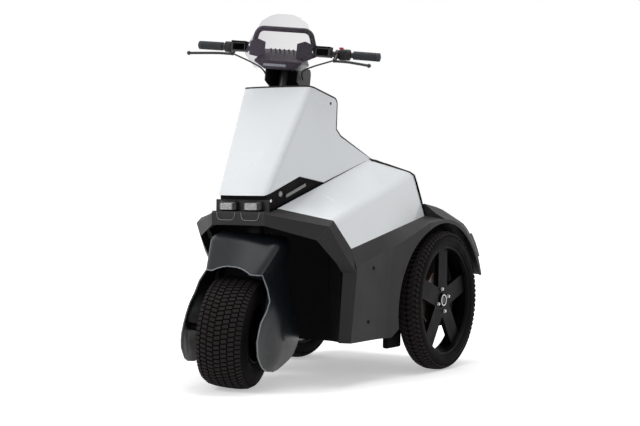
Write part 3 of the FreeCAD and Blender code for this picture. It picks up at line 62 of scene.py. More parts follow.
# Camera: the place and angles from which the photograph was taken
cameraSetup = {
    "place": (2.8851, -4.7401, 0.7206),
    "turn": 31.2,        # degrees from +Y towards -X
    "tilt": -0.9,
    "roll": 0.8,
    "lens": 77.6,
    "shiftX": -0.0042,
    "shiftY": 0.0028,
}


def makeCamera(setup):
    data = bpy.data.cameras.new("camera")
    data.lens = setup["lens"]
    data.shift_x = setup["shiftX"]
    data.shift_y = setup["shiftY"]
    camera = bpy.data.objects.new("camera", data)
    bpy.context.scene.collection.objects.link(camera)
    turn, tilt, roll = (math.radians(setup[key]) for key in ("turn", "tilt", "roll"))
    forward = Vector((-math.sin(turn) * math.cos(tilt), math.cos(turn) * math.cos(tilt), math.sin(tilt)))
    level = Vector((math.cos(turn), math.sin(turn), 0))
    right = level * math.cos(roll) + level.cross(forward) * math.sin(roll)
    axes = Matrix((right, right.cross(forward), -forward)).transposed().to_4x4()
    camera.matrix_world = Matrix.Translation(setup["place"]) @ axes
    bpy.context.scene.camera = camera


makeCamera(cameraSetup)
bpy.context.scene.view_settings.view_transform = "Standard"

# Studio, in metres: each soft lamp's place, size and power in watts
lamps = {
    "keyLamp": ((-2.4, -4.4, 3.4), 2.4, 100),
    "sideLamp": ((4.6, -1.6, 3.0), 2.4, 4),
    "topLamp": ((0.3, 0.2, 4.2), 3.0, 86),
    "backLamp": ((-2.8, 3.4, 2.4), 2.0, 36),
}
studio = {
    "aim": (0, 0, 0.5),
    "worldLight": 0.42,
    "floorSize": 30.0,
    "floorHeight": -0.0005,
    "floorColour": (0.9, 0.9, 0.9, 1),
    "floorShader": {"Roughness": 0.9, "Specular IOR Level": 0.1},
    "floorLift": (0.42, 1.0),     # white that the floor shows besides its lit colour, near the wheels and far off
    "liftReach": {"From Min": 0.9, "From Max": 3.2},
    "white": (1, 1, 1, 1),
}


def makeLamp(name, place, size, power):
    data = bpy.data.lights.new(name, "AREA")
    data.shape = "DISK"
    data.size = size
    data.energy = power
    lamp = bpy.data.objects.new(name, data)
    bpy.context.scene.collection.objects.link(lamp)
    lamp.location = place
    aim = Vector(studio["aim"]) - Vector(place)
    lamp.rotation_euler = aim.to_track_quat("-Z", "Y").to_euler()


for name, (place, size, power) in lamps.items():
    makeLamp(name, place, size, power)


# Short calls for shader nodes
def put(tree, target, key, value):
    if isinstance(value, bpy.types.NodeSocket):
        tree.links.new(value, target.inputs[key])
    else:
        target.inputs[key].default_value = value


def addNode(tree, kind, inputs=None, **settings):
    made = tree.nodes.new("ShaderNode" + kind)
    for key, value in settings.items():
        setattr(made, key, value)
    for key, value in (inputs or {}).items():
        put(tree, made, key, value)
    return made


def combine(tree, operation, first, second, **settings):
    return addNode(tree, "Math", {0: first, 1: second}, operation=operation, **settings).outputs[0]


def spread(tree, value, low, high, span=None, **settings):
    # a value from 0 to 1, or over a span, laid over another range
    inputs = {"Value": value, "To Min": low, "To Max": high, **(span or {})}
    return addNode(tree, "MapRange", inputs, **settings).outputs[0]


def blend(tree, share, first, second):
    return addNode(tree, "Mix", {"Factor": share, 6: first, 7: second}, data_type="RGBA").outputs[2]


def addBump(tree, shader, height, strength, depth):
    bump = addNode(tree, "Bump", {"Height": height, "Strength": strength, "Distance": depth})
    put(tree, shader, "Normal", bump.outputs[0])


def newGroup(name, inputs, outputs):
    group = bpy.data.node_groups.new(name, "ShaderNodeTree")
    for key, kind in inputs.items():
        group.interface.new_socket(key, in_out="INPUT", socket_type="NodeSocket" + kind)
    for key, kind in outputs.items():
        group.interface.new_socket(key, in_out="OUTPUT", socket_type="NodeSocket" + kind)
    return group, group.nodes.new("NodeGroupInput").outputs, group.nodes.new("NodeGroupOutput")


def newMaterial(name, inputs=None):
    material = bpy.data.materials.new(name)
    material.use_nodes = True
    tree = material.node_tree
    shader = tree.nodes["Principled BSDF"]
    for key, value in (inputs or {}).items():
        put(tree, shader, key, value)
    return material, tree, shader, addNode(tree, "TexCoord").outputs["Object"]


def seenWhite(tree):
    # one where the camera, a gloss or a clear surface looks
    path = addNode(tree, "LightPath").outputs
    seen = combine(tree, "MAXIMUM", path["Is Camera Ray"], path["Is Glossy Ray"])
    return combine(tree, "MAXIMUM", seen, path["Is Transmission Ray"])


def makeWorld():
    world = bpy.data.worlds.new("studioWorld")
    bpy.context.scene.world = world
    world.use_nodes = True
    tree = world.node_tree
    ground = tree.nodes["Background"]
    put(tree, ground, "Color", studio["white"])
    put(tree, ground, "Strength", spread(tree, seenWhite(tree), studio["worldLight"], 1.0))


def makeFloor():
    shape = bmesh.new()
    bmesh.ops.create_grid(shape, x_segments=1, y_segments=1, size=studio["floorSize"])
    mesh = bpy.data.meshes.new("studioFloor")
    shape.to_mesh(mesh)
    shape.free()
    floor = bpy.data.objects.new("studioFloor", mesh)
    bpy.context.scene.collection.objects.link(floor)
    floor.location.z = studio["floorHeight"]
    material, tree, shader, place = newMaterial("floorPaper", studio["floorShader"])
    put(tree, shader, "Base Color", studio["floorColour"])
    put(tree, shader, "Emission Color", studio["white"])
    away = addNode(tree, "VectorMath", {0: place}, operation="LENGTH").outputs["Value"]
    fade = spread(tree, away, *studio["floorLift"], studio["liftReach"], interpolation_type="SMOOTHSTEP")
    put(tree, shader, "Emission Strength", combine(tree, "MULTIPLY", seenWhite(tree), fade))
    mesh.materials.append(material)


makeWorld()
makeFloor()
print("studio ready")


# Effects that several materials share
cloudSpan = {"From Min": 0.3, "From Max": 0.7}     # the part of the clouds' noise that fills a look's range
noiseDetail = {"Grain": 2.0, "Cloud": 4.0}
dustPatches = {"Scale": 14.0, "Detail": 6.0, "Roughness": 0.65}
patchSpan = {"From Min": 0.35, "From Max": 0.75}
dustColour = (0.11, 0.095, 0.08, 1)


def makeGrainGroup():
    # colour clouds and a fine moulded grain
    tree, given, result = newGroup(
        "mouldedGrain", {"Vector": "Vector", "Color": "Color", "Grain Scale": "Float", "Cloud Scale": "Float",
                         "Variation": "Float"},
        {"Color": "Color", "Height": "Float", "Cloud": "Float"})
    grain, cloud = [
        addNode(tree, "TexNoise", {"Vector": given["Vector"], "Scale": given[kind + " Scale"],
                                   "Detail": noiseDetail[kind]}).outputs["Fac"] for kind in ("Grain", "Cloud")]
    low = combine(tree, "SUBTRACT", 1.0, given["Variation"])
    high = combine(tree, "ADD", 1.0, given["Variation"])
    shade = spread(tree, cloud, low, high, cloudSpan)
    tinted = addNode(tree, "VectorMath", {0: given["Color"], "Scale": shade}, operation="SCALE")
    put(tree, result, "Color", tinted.outputs[0])
    put(tree, result, "Height", grain)
    put(tree, result, "Cloud", cloud)
    return tree


def makeDustGroup():
    # a mask that is strongest at the ground and breaks up in patches
    tree, given, result = newGroup(
        "roadDust", {"Vector": "Vector", "Top": "Float", "Amount": "Float"}, {"Mask": "Float"})
    height = addNode(tree, "SeparateXYZ", {0: given["Vector"]}).outputs["Z"]
    fall = spread(tree, height, 1.0, 0.0, {"From Max": given["Top"]})
    patch = addNode(tree, "TexNoise", {"Vector": given["Vector"], **dustPatches})
    broken = spread(tree, patch.outputs["Fac"], 0.0, 1.0, patchSpan)
    both = combine(tree, "MULTIPLY", fall, broken)
    put(tree, result, "Mask", combine(tree, "MULTIPLY", both, given["Amount"]))
    return tree


grainGroup = makeGrainGroup()
dustGroup = makeDustGroup()


def useGrain(tree, place, look):
    inputs = {"Vector": place, "Color": look["colour"], "Grain Scale": look["grain"], "Cloud Scale": look["cloud"],
              "Variation": look["variation"]}
    return addNode(tree, "Group", inputs, node_tree=grainGroup).outputs


def makeFinish(name, look):
    # a moulded, painted or cast surface: grain, colour clouds, dust and uneven gloss
    material, tree, shader, place = newMaterial(name, look.get("shader"))
    grain = useGrain(tree, place, look)
    inputs = {"Vector": place, "Top": look["dustTop"], "Amount": look["dust"]}
    dust = addNode(tree, "Group", inputs, node_tree=dustGroup).outputs["Mask"]
    put(tree, shader, "Base Color", blend(tree, dust, grain["Color"], dustColour))
    rough = spread(tree, grain["Cloud"], *look["rough"], cloudSpan)
    put(tree, shader, "Roughness", combine(tree, "ADD", rough, dust, use_clamp=True))
    addBump(tree, shader, grain["Height"], look["bump"], look["depth"])
    return material


# One row for each finish: linear colours, scales of the grain and the clouds, metres for dustTop and depth, and
# shares for the rest
looks = {
    "whitePaint": {
        "colour": (0.80, 0.83, 0.85, 1), "grain": 90, "cloud": 5, "variation": 0.012, "rough": (0.2, 0.28),
        "dust": 0.05, "dustTop": 1.0, "bump": 0.02, "depth": 0.0004,
        "shader": {"Coat Weight": 0.5, "Coat Roughness": 0.06}},
    "darkPanel": {
        "colour": (0.0150, 0.0133, 0.0142, 1), "grain": 1500, "cloud": 9, "variation": 0.1, "rough": (0.52, 0.62),
        "dust": 0.06, "dustTop": 0.55, "bump": 0.25, "depth": 0.0003,
        "shader": {"Specular IOR Level": 0.25}},
    # a near-black liner, darker than the panels: painted shade in the wheel arches, along the bay's rim, on the
    # cowls' inner faces, on the sill brackets and in the panel screws
    "innerLiner": {
        "colour": (0.0035, 0.0028, 0.003, 1), "grain": 900, "cloud": 9, "variation": 0.1, "rough": (0.7, 0.8),
        "dust": 0.05, "dustTop": 0.4, "bump": 0.25, "depth": 0.0003,
        "shader": {"Specular IOR Level": 0.08}},
    "fenderPlastic": {
        "colour": (0.0045, 0.0055, 0.0075, 1), "grain": 700, "cloud": 8, "variation": 0.1, "rough": (0.28, 0.36),
        "dust": 0.05, "dustTop": 0.35, "bump": 0.06, "depth": 0.0003,
        "shader": {"Specular IOR Level": 0.32}},
    "rimPaint": {
        "colour": (0.0019, 0.0013, 0.0015, 1), "grain": 900, "cloud": 12, "variation": 0.12, "rough": (0.42, 0.55),
        "dust": 0.01, "dustTop": 0.5, "bump": 0.12, "depth": 0.0003,
        "shader": {"Specular IOR Level": 0.06}},
    # a pale grey that paints the highlight on the fender's lip and opening edges, and on the lamp scallops' lips
    "lipSheen": {
        "colour": (0.19, 0.21, 0.23, 1), "grain": 900, "cloud": 20, "variation": 0.15, "rough": (0.25, 0.35),
        "dust": 0.05, "dustTop": 0.3, "bump": 0.05, "depth": 0.0002,
        "shader": {"Specular IOR Level": 0.6}},
    # a grey a little paler than the panels: painted highlight along the arches' bevelled edges
    "edgeSheen": {
        "colour": (0.034, 0.033, 0.035, 1), "grain": 1200, "cloud": 20, "variation": 0.15, "rough": (0.4, 0.5),
        "dust": 0.1, "dustTop": 0.5, "bump": 0.15, "depth": 0.0002,
        "shader": {"Specular IOR Level": 0.4}},
    "blackMetal": {
        "colour": (0.014, 0.014, 0.016, 1), "grain": 1200, "cloud": 14, "variation": 0.1, "rough": (0.36, 0.46),
        "dust": 0.1, "dustTop": 0.4, "bump": 0.15, "depth": 0.0002,
        "shader": {"Specular IOR Level": 0.35}},
    "batteryCase": {
        "colour": (0.06, 0.06, 0.065, 1), "grain": 900, "cloud": 10, "variation": 0.08, "rough": (0.5, 0.62),
        "dust": 0.3, "dustTop": 0.6, "bump": 0.2, "depth": 0.0003},
    "gripRubber": {
        "colour": (0.028, 0.03, 0.034, 1), "grain": 1400, "cloud": 20, "variation": 0.12, "rough": (0.62, 0.75),
        "dust": 0.0, "dustTop": 1.0, "bump": 0.3, "depth": 0.0003,
        "shader": {"Specular IOR Level": 0.35}},
    "redPlastic": {
        "colour": (0.62, 0.012, 0.02, 1), "grain": 900, "cloud": 40, "variation": 0.06, "rough": (0.3, 0.4),
        "dust": 0.0, "dustTop": 1.0, "bump": 0.08, "depth": 0.0002},
    "greyPlastic": {
        "colour": (0.09, 0.095, 0.105, 1), "grain": 900, "cloud": 30, "variation": 0.1, "rough": (0.4, 0.5),
        "dust": 0.0, "dustTop": 1.0, "bump": 0.15, "depth": 0.0002},
    "tyreRubber": {
        "colour": (0.0165, 0.0138, 0.0138, 1), "grain": 500, "cloud": 16, "variation": 0.18, "rough": (0.7, 0.86),
        "dust": 0.06, "dustTop": 0.6, "bump": 0.3, "depth": 0.0005,
        "shader": {"Specular IOR Level": 0.14}},
    # the same rubber much darker, for the tyre's body, grooves and block sides: painted shade
    "tyrePaintedShade": {
        "colour": (0.0034, 0.0027, 0.0028, 1), "grain": 500, "cloud": 16, "variation": 0.18, "rough": (0.7, 0.86),
        "dust": 0.03, "dustTop": 0.6, "bump": 0.3, "depth": 0.0005,
        "shader": {"Specular IOR Level": 0.08}},
}
materials = {name: makeFinish(name, look) for name, look in looks.items()}


# The thin tinted sheet: its two tints, and the values face on and edge on of what makes it dense
screenTint = {
    "tints": ((0.05, 0.02, 0.065, 1), (0.09, 0.05, 0.105, 1)),
    "smear": {"Scale": 30.0, "Detail": 4.0},
    "rough": (0.04, 0.12),
    "edge": 0.35,
    "alpha": (0.09, 0.5),
}


def makeScreenTint():
    material, tree, shader, place = newMaterial("tintedScreen", {"Specular IOR Level": 0.5})
    smear = addNode(tree, "TexNoise", {"Vector": place, **screenTint["smear"]}).outputs["Fac"]
    put(tree, shader, "Base Color", blend(tree, smear, *screenTint["tints"]))
    put(tree, shader, "Roughness", spread(tree, smear, *screenTint["rough"]))
    edge = addNode(tree, "LayerWeight", {"Blend": screenTint["edge"]}).outputs["Facing"]
    put(tree, shader, "Alpha", spread(tree, edge, *screenTint["alpha"]))
    return material


redGlass = {
    "shader": {"Coat Weight": 0.6, "Coat Roughness": 0.05, "Roughness": 0.2},
    "tints": ((0.25, 0.006, 0.008, 1), (0.42, 0.012, 0.015, 1)),
    "ribScale": 60.0,
    "bump": (0.4, 0.001),       # strength and depth in metres
}


def makeRedLens():
    material, tree, shader, place = newMaterial("redLens", redGlass["shader"])
    ribs = addNode(tree, "TexWave", {"Vector": place, "Scale": redGlass["ribScale"]}, bands_direction="Z")
    put(tree, shader, "Base Color", blend(tree, ribs.outputs["Fac"], *redGlass["tints"]))
    addBump(tree, shader, ribs.outputs["Fac"], *redGlass["bump"])
    return material


lampGlass = {
    "shader": {"Coat Weight": 0.7, "Coat Roughness": 0.04, "Roughness": 0.25},
    "cellScale": 160.0,
    "bump": (0.4, 0.001),
    "lampLens": (0.5, 0.14),        # the grey of the cells' middles and edges
    "smokedLens": (0.14, 0.03),
}


def makeLampLens(name):
    # moulded cells behind a clear front
    material, tree, shader, place = newMaterial(name, lampGlass["shader"])
    cells = addNode(tree, "TexVoronoi", {"Vector": place, "Scale": lampGlass["cellScale"]}, feature="F1")
    put(tree, shader, "Base Color", spread(tree, cells.outputs["Distance"], *lampGlass[name]))
    addBump(tree, shader, cells.outputs["Distance"], *lampGlass["bump"])
    return material


# Bare metals: the worn steel of the brakes, and plated fasteners
metals = {
    "brakeMetal": {"shader": {"Metallic": 0.85}, "colour": (0.17, 0.13, 0.115, 1), "grain": 700.0, "cloud": 30.0,
                   "variation": 0.2, "rough": (0.3, 0.55), "bump": (0.2, 0.0002)},
    "brightSteel": {"shader": {"Metallic": 1.0}, "colour": (0.62, 0.63, 0.65, 1), "grain": 1500.0, "cloud": 90.0,
                    "variation": 0.12, "rough": (0.18, 0.36)},
}


def makeMetal(name, look):
    material, tree, shader, place = newMaterial(name, look["shader"])
    grain = useGrain(tree, place, look)
    put(tree, shader, "Base Color", grain["Color"])
    put(tree, shader, "Roughness", spread(tree, grain["Cloud"], *look["rough"]))
    if "bump" in look:
        addBump(tree, shader, grain["Height"], *look["bump"])
    return material


# A grey screen behind a clear pane, with faint rows of unlit segments
displayGlass = {
    "shader": {"Coat Weight": 0.8, "Coat Roughness": 0.04, "Roughness": 0.3},
    "rows": {"Scale": 60.0, "Color1": (0.22, 0.25, 0.30, 1), "Color2": (0.27, 0.30, 0.35, 1),
             "Mortar": (0.13, 0.15, 0.19, 1), "Mortar Size": 0.03},
}


def makeDisplayGlass():
    material, tree, shader, place = newMaterial("displayGlass", displayGlass["shader"])
    rows = addNode(tree, "TexBrick", {"Vector": place, **displayGlass["rows"]})
    put(tree, shader, "Base Color", rows.outputs["Color"])
    return material


materials["tintedScreen"] = makeScreenTint()
materials["redLens"] = makeRedLens()
for name in ("lampLens", "smokedLens"):
    materials[name] = makeLampLens(name)
for name, look in metals.items():
    materials[name] = makeMetal(name, look)
materials["displayGlass"] = makeDisplayGlass()
print("materials ready:", len(materials))

# The finish of each CAD slot
slotFinish = {
    "dark_plastic": "darkPanel", "battery_case": "batteryCase", "black_metal": "blackMetal",
    "lamp_lens": "lampLens", "white_panel": "whitePaint", "mat_rubber": "gripRubber",
    "brake_metal": "brakeMetal", "red_lens": "redLens", "fender_plastic": "fenderPlastic",
    "tinted_screen": "tintedScreen", "tyre_rubber": "tyreRubber", "rim_metal": "rimPaint",
}


def dressNodes():
    for node in nodes.values():
        for slot in node.material_slots:
            key = slot.material.name.split(".")[0]
            slot.material = materials[slotFinish.get(key, "darkPanel")]


dressNodes()
print("frame dressed")

# Where the pieces stand: metres, with lengths along Y measured from the front axle
vehicle = {
    "axleY": -0.5791,
    "wheelbase": 0.968,
    "halfTrack": 0.343,
    "frontHub": 0.2065,
    "rearHub": 0.286,
    "rake": 17.5,          # degrees
    "turn": 15.7,          # how far the steering is turned in the photograph
    "axisAhead": 0.0067,
}


def spot(x, y, z):
    # millimetres from the front axle on the ground to a point in the frame
    return Vector((x / 1000, y / 1000 + vehicle["axleY"], z / 1000))


rakeAngle = math.radians(vehicle["rake"])
steerAxis = Vector((0, math.sin(rakeAngle), math.cos(rakeAngle)))
steerFoot = Vector((0, vehicle["axisAhead"] + vehicle["axleY"], vehicle["frontHub"]))
steerMatrix = (Matrix.Translation(steerFoot) @ Matrix.Rotation(math.radians(vehicle["turn"]), 4, steerAxis)
               @ Matrix.Translation(-steerFoot))
frontHubMatrix = steerMatrix @ Matrix.Translation((0, vehicle["axleY"], vehicle["frontHub"]))
sides = {"left": 1, "right": -1}


def rearHubMatrix(sign):
    place = Vector((sign * vehicle["halfTrack"], vehicle["wheelbase"] + vehicle["axleY"], vehicle["rearHub"]))
    return Matrix.Translation(place) @ Matrix.Rotation(0 if sign > 0 else math.pi, 4, "Z")


# Piece making. Corners closer than this are one, in metres, where a shape is drawn or comes from a solid
mergeGap = {"drawn": 0.00001, "solid": 0.00003}
crispCorner = 38     # degrees: faces that meet at more than this keep a crisp corner


def millis(size):
    return [length / 1000 for length in size]


def movePoints(shape, matrix):
    bmesh.ops.transform(shape, matrix=matrix, verts=shape.verts)


def mirror(shape, sign):
    if sign < 0:
        bmesh.ops.scale(shape, vec=(-1, 1, 1), verts=shape.verts)
    return shape


def placed(shape, place):
    movePoints(shape, Matrix.Translation(spot(*place)))
    return shape


def newPiece(name, shape, body, look, matrix=None, angle=crispCorner):
    if matrix is not None:
        movePoints(shape, matrix)
    bmesh.ops.recalc_face_normals(shape, faces=shape.faces)
    mesh = bpy.data.meshes.new(name)
    shape.to_mesh(mesh)
    shape.free()
    mesh.materials.append(materials[look])
    mesh.shade_smooth()
    mesh.set_sharp_from_angle(angle=math.radians(angle))
    piece = bpy.data.objects.new(name, mesh)
    bpy.context.scene.collection.objects.link(piece)
    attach(piece, body)
    return piece


def softBox(size, edge, segments=2):
    shape = bmesh.new()
    bmesh.ops.create_cube(shape, size=1)
    bmesh.ops.scale(shape, vec=size, verts=shape.verts)
    bmesh.ops.bevel(shape, geom=shape.edges, offset=edge, segments=segments, profile=0.5, affect="EDGES",
                    material=-1)
    return shape


def boxAt(size, place, edge, segments=2):
    return placed(softBox(millis(size), edge / 1000, segments), place)


def ring(profile, steps, closed=True):
    # a profile of points, along X and radius in millimetres, spun about X
    shape = bmesh.new()
    corners = [shape.verts.new((place / 1000, 0, radius / 1000)) for place, radius in profile]
    pairs = zip(corners, corners[1:] + corners[:1]) if closed else zip(corners, corners[1:])
    edges = [shape.edges.new(pair) for pair in pairs]
    bmesh.ops.spin(shape, geom=corners + edges, cent=(0, 0, 0), axis=(1, 0, 0), dvec=(0, 0, 0), angle=math.tau,
                   steps=steps, use_merge=True, use_duplicate=False)
    bmesh.ops.remove_doubles(shape, verts=shape.verts, dist=mergeGap["drawn"])
    return shape


def addCopies(shape, template, matrices):
    mesh = bpy.data.meshes.new("template")
    template.to_mesh(mesh)
    template.free()
    for matrix in matrices:
        copy = mesh.copy()
        copy.transform(matrix)
        shape.from_mesh(copy)
        bpy.data.meshes.remove(copy)
    bpy.data.meshes.remove(mesh)
    return shape


def facing(direction, place):
    # turns a shape's own X towards a direction and moves it to a place
    return Matrix.Translation(place) @ Vector(direction).to_track_quat("X", "Z").to_matrix().to_4x4()


seatReach = 0.3     # metres: how far outside the point the line starts


def seat(node, point, direction):
    # the place on a CAD node's surface that a line from outside meets, and the surface's normal there
    mesh = nodes[node].data
    tree = BVHTree.FromPolygons([corner.co for corner in mesh.vertices],
                                [polygon.vertices for polygon in mesh.polygons])
    direction = Vector(direction).normalized()
    hit, normal = tree.ray_cast(Vector(point) + direction * seatReach, -direction)[:2]
    return hit, normal if normal.dot(direction) > 0 else -normal


# Moulded and cast pieces: copies of the CAD solids with softened edges. Each row, which holds for both sides where
# the node has two: finish, slot, edge width in millimetres, the least corner that is softened in degrees, and where
# the softened edges carry a painted highlight, its finish
softened = {
    "front_shield": ("whitePaint", "white_panel", 3.0, 24),
    "side_cowl": ("whitePaint", "white_panel", 5.0, 24),
    "knee_panel": ("darkPanel", "dark_plastic", 0, 30),
    "bay_walls": ("darkPanel", "dark_plastic", 0, 30),
    # the arches' bevelled edges take the paler finish of a painted highlight
    "arch": ("darkPanel", "dark_plastic", 4.0, 18, "edgeSheen"),
    "side_panel": ("darkPanel", "dark_plastic", 3.0, 30),
    "rear_fender": ("darkPanel", "dark_plastic", 0, 30),
    # the wheel housings and the arch liner take the near-black liner: painted shade in the arches
    "wheel_housings": ("innerLiner", "dark_plastic", 0, 30),
    "wheel_arch_liner": ("innerLiner", "dark_plastic", 0, 30),
    "lamp_block": ("darkPanel", "dark_plastic", 3.0, 24),
    "chassis": ("rimPaint", "dark_plastic", 2.0, 30),
    "deck": ("darkPanel", "mat_rubber", 3.0, 30),
    "belly_pan": ("darkPanel", "dark_plastic", 1.0, 30),
    "head_tube": ("blackMetal", "black_metal", 1.0, 40),
    "battery": ("batteryCase", "battery_case", 3.0, 30),
    "swing_arms": ("blackMetal", "black_metal", 2.0, 40),
    "brake_calipers": ("brakeMetal", "brake_metal", 2.0, 40),
    "brake_disc": ("brakeMetal", "brake_metal", 0.8, 40),
    # the front fender's bevelled edges take the pale finish of a painted highlight
    "front_fender": ("fenderPlastic", "fender_plastic", 2.6, 62, "lipSheen"),
    "fork": ("blackMetal", "black_metal", 2.0, 40),
    "steering_stem": ("blackMetal", "black_metal", 1.0, 40),
    "stem_cover": ("darkPanel", "dark_plastic", 3.0, 40),
    "handlebar": ("blackMetal", "black_metal", 0.5, 40),
    "brake_levers": ("blackMetal", "black_metal", 1.0, 40),
    "instrument_pod": ("fenderPlastic", "dark_plastic", 6.0, 24),
    "screen_brackets": ("blackMetal", "black_metal", 1.5, 30),
    "hoop": ("blackMetal", "black_metal", 0.5, 40),
    "brake_hoses": ("gripRubber", "mat_rubber", 0.3, 40),
    "front_rim": ("rimPaint", "black_metal", 1.5, 30),
    "rear_rim": ("rimPaint", "rim_metal", 2.5, 30),
    "tail_lamps": ("redLens", "red_lens", 1.5, 30),
    "headlamps": ("lampLens", "lamp_lens", 3.0, 30),
    "side_lamps": ("smokedLens", "lamp_lens", 1.5, 30),
    "windscreen": ("tintedScreen", "tinted_screen", 0.8, 40),
}


# The cowls' ends, in millimetres from the front axle: how much higher than in the solid the rim stands at each
# place along it, and how the faces between foot, ridge and rim follow
cowlEnd = {
    "foot": ((281, 515), (945, 632)),
    "ridge": ((186, 620), (945, 781)),
    "seam": ((95, 661), (684, 860)),
    "rim": ((684, 840), (767, 831), (923, 778), (945, 770)),
    "ridgeRise": ((186, 0), (945, 33)),
    "rimRise": {
        "side_cowl": ((684, 12), (767, 9), (923, 32), (945, 33)),
        "knee_panel": ((684, 3), (767, 9), (923, 32)),
        "bay_walls": ((684, 3), (767, 9), (923, 32), (945, 33)),
    },
    "fade": 20,             # how far above the rim the rise dies out
    "slack": 1,             # how far ahead of the rim's first place it already counts
}
# How the cowls' faces are laid: metres, degrees, and how far a face looks up or back, from -1 to 1
cowlFaces = {
    "upperUp": 0.25, "upperBack": -0.02,      # the upper face's facets look up more and back less than this
    "flat": 9,                                # facets that meet flatter than this are one face
    "straight": 1.5,                          # corners that bend less than this are left out
    "ridgeLength": 0.5, "ridgeHeight": 0.6, "ridgeUp": 0.1, "ridgeWidth": 0.020, "ridgeSegments": 5,
    "strip": 0.02, "cutGap": 0.0001,
}


def along(line, place):
    # the value of a bent line at a place
    for (start, low), (end, high) in zip(line, line[1:]):
        if place <= end:
            return low + (high - low) * max((place - start) / (end - start), 0)
    return line[-1][1]


def raiseCowlEnd(shape, rimRise):
    for corner in shape.verts:
        forward, height = (corner.co.y - vehicle["axleY"]) * 1000, corner.co.z * 1000
        foot, ridge = along(cowlEnd["foot"], forward), along(cowlEnd["ridge"], forward)
        behind = forward > cowlEnd["rim"][0][0] - cowlEnd["slack"]
        top = along(cowlEnd["rim" if behind else "seam"], forward)
        topRise = along(rimRise, forward) if behind else 0
        ridgeRise = along(cowlEnd["ridgeRise"], forward)
        if height < ridge:
            rise = ridgeRise * max((height - foot) / (ridge - foot), 0)
        elif height < top:
            rise = ridgeRise + (topRise - ridgeRise) * (height - ridge) / (top - ridge)
        else:
            rise = topRise * max(1 - (height - top) / cowlEnd["fade"], 0)
        corner.co.z += rise / 1000


def mergeCowl(shape):
    # one face above the ridge and one below it
    shape.normal_update()
    upper = [face for face in shape.faces
             if face.normal.z > cowlFaces["upperUp"] and face.normal.y < cowlFaces["upperBack"]]
    bmesh.ops.dissolve_faces(shape, faces=upper, use_verts=False)
    bmesh.ops.dissolve_limit(shape, angle_limit=math.radians(cowlFaces["flat"]), verts=[], edges=shape.edges)
    bmesh.ops.dissolve_limit(shape, angle_limit=math.radians(cowlFaces["straight"]), verts=shape.verts, edges=[])


def layCowl(shape):
    # the ridge rounded, and both faces laid in even strips
    shape.normal_update()
    ridge = [edge for edge in shape.edges
             if edge.calc_length() > cowlFaces["ridgeLength"] and len(edge.link_faces) == 2
             and min(corner.co.z for corner in edge.verts) > cowlFaces["ridgeHeight"]
             and min(face.normal.z for face in edge.link_faces) > cowlFaces["ridgeUp"]]
    bmesh.ops.bevel(shape, geom=ridge, offset=cowlFaces["ridgeWidth"], segments=cowlFaces["ridgeSegments"],
                    profile=0.5, affect="EDGES", material=-1, clamp_overlap=True)
    first = min(corner.co.y for corner in shape.verts)
    last = max(corner.co.y for corner in shape.verts)
    for index in range(1, int((last - first) / cowlFaces["strip"]) + 1):
        bmesh.ops.bisect_plane(shape, geom=shape.verts[:] + shape.edges[:] + shape.faces[:],
                               dist=cowlFaces["cutGap"], plane_co=(0, first + index * cowlFaces["strip"], 0),
                               plane_no=(0, 1, 0))


# The crown of the rear fenders close behind the cowls: how much higher than in the solid, along the vehicle, how
# far out that holds and where it has died out, and the circle about the tyre that the crown lies outside
fenderCrown = {
    "rise": ((930, 0), (946, 50), (1000, 40), (1050, 28), (1100, 16), (1150, 6), (1200, 0)),
    "full": 300,
    "none": 352,
    "centre": (950, 244),
    "radius": 376,
}


def raiseFender(shape):
    # the upper skin rises and the lower one stays, so that the front end closes the height between them
    shape.normal_update()
    middle, level = fenderCrown["centre"]
    none, full = fenderCrown["none"], fenderCrown["full"]
    for corner in shape.verts:
        forward, height = (corner.co.y - vehicle["axleY"]) * 1000, corner.co.z * 1000
        if corner.normal.z > 0 and math.hypot(forward - middle, height - level) > fenderCrown["radius"]:
            share = (none - abs(corner.co.x) * 1000) / (none - full)
            corner.co.z += along(fenderCrown["rise"], forward) * min(max(share, 0), 1) / 1000


# The clear lens is narrower than its black body: its middle in millimetres and the share of the width that stays
lensFace = {"across": 54, "share": 0.84}


def narrowLenses(shape):
    centre = lensFace["across"] / 1000
    for corner in shape.verts:
        middle = math.copysign(centre, corner.co.x)
        corner.co.x = middle + (corner.co.x - middle) * lensFace["share"]


softEdge = {"flat": 0.8, "segments": 3}       # facets that meet flatter than this many degrees are one face


def soften(node, look, slot, width, corner, edgeHighlightLook=None):
    shape = bmesh.new()
    shape.from_mesh(nodes[node].data)
    bmesh.ops.remove_doubles(shape, verts=shape.verts, dist=mergeGap["solid"])
    if node.startswith("side_cowl"):
        mergeCowl(shape)
    for part, rimRise in cowlEnd["rimRise"].items():
        if node.startswith(part):
            raiseCowlEnd(shape, rimRise)
    if node.startswith("rear_fender"):
        raiseFender(shape)
    if node == "headlamps":
        narrowLenses(shape)
    if node.startswith("side_cowl"):
        layCowl(shape)
    else:
        bmesh.ops.dissolve_limit(shape, angle_limit=math.radians(softEdge["flat"]), verts=shape.verts,
                                 edges=shape.edges)
    piece = newPiece(node + "_form", shape, nodes[node]["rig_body"], look, angle=corner)
    if width:
        edges = piece.modifiers.new("softEdges", "BEVEL")
        edges.width = width / 1000
        edges.segments = softEdge["segments"]
        edges.limit_method = "ANGLE"
        edges.angle_limit = math.radians(corner)
        # the bevel's faces take their own paler finish: a painted highlight along the edges
        if edgeHighlightLook:
            piece.data.materials.append(materials[edgeHighlightLook])
            edges.material = 1
    shading = piece.modifiers.new("evenShading", "WEIGHTED_NORMAL")
    shading.keep_sharp = True
    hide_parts(node)


for part, row in softened.items():
    for node in [part] if part in nodes else [part + "_" + side for side in sides]:
        soften(node, *row)


# Faces that have another finish than the rest of their piece, by the way they look, from -1 to 1
painted = {"lampBack": 0.25, "lampSide": 0.6, "cowlBack": 0.6, "cowlInner": 0.5}


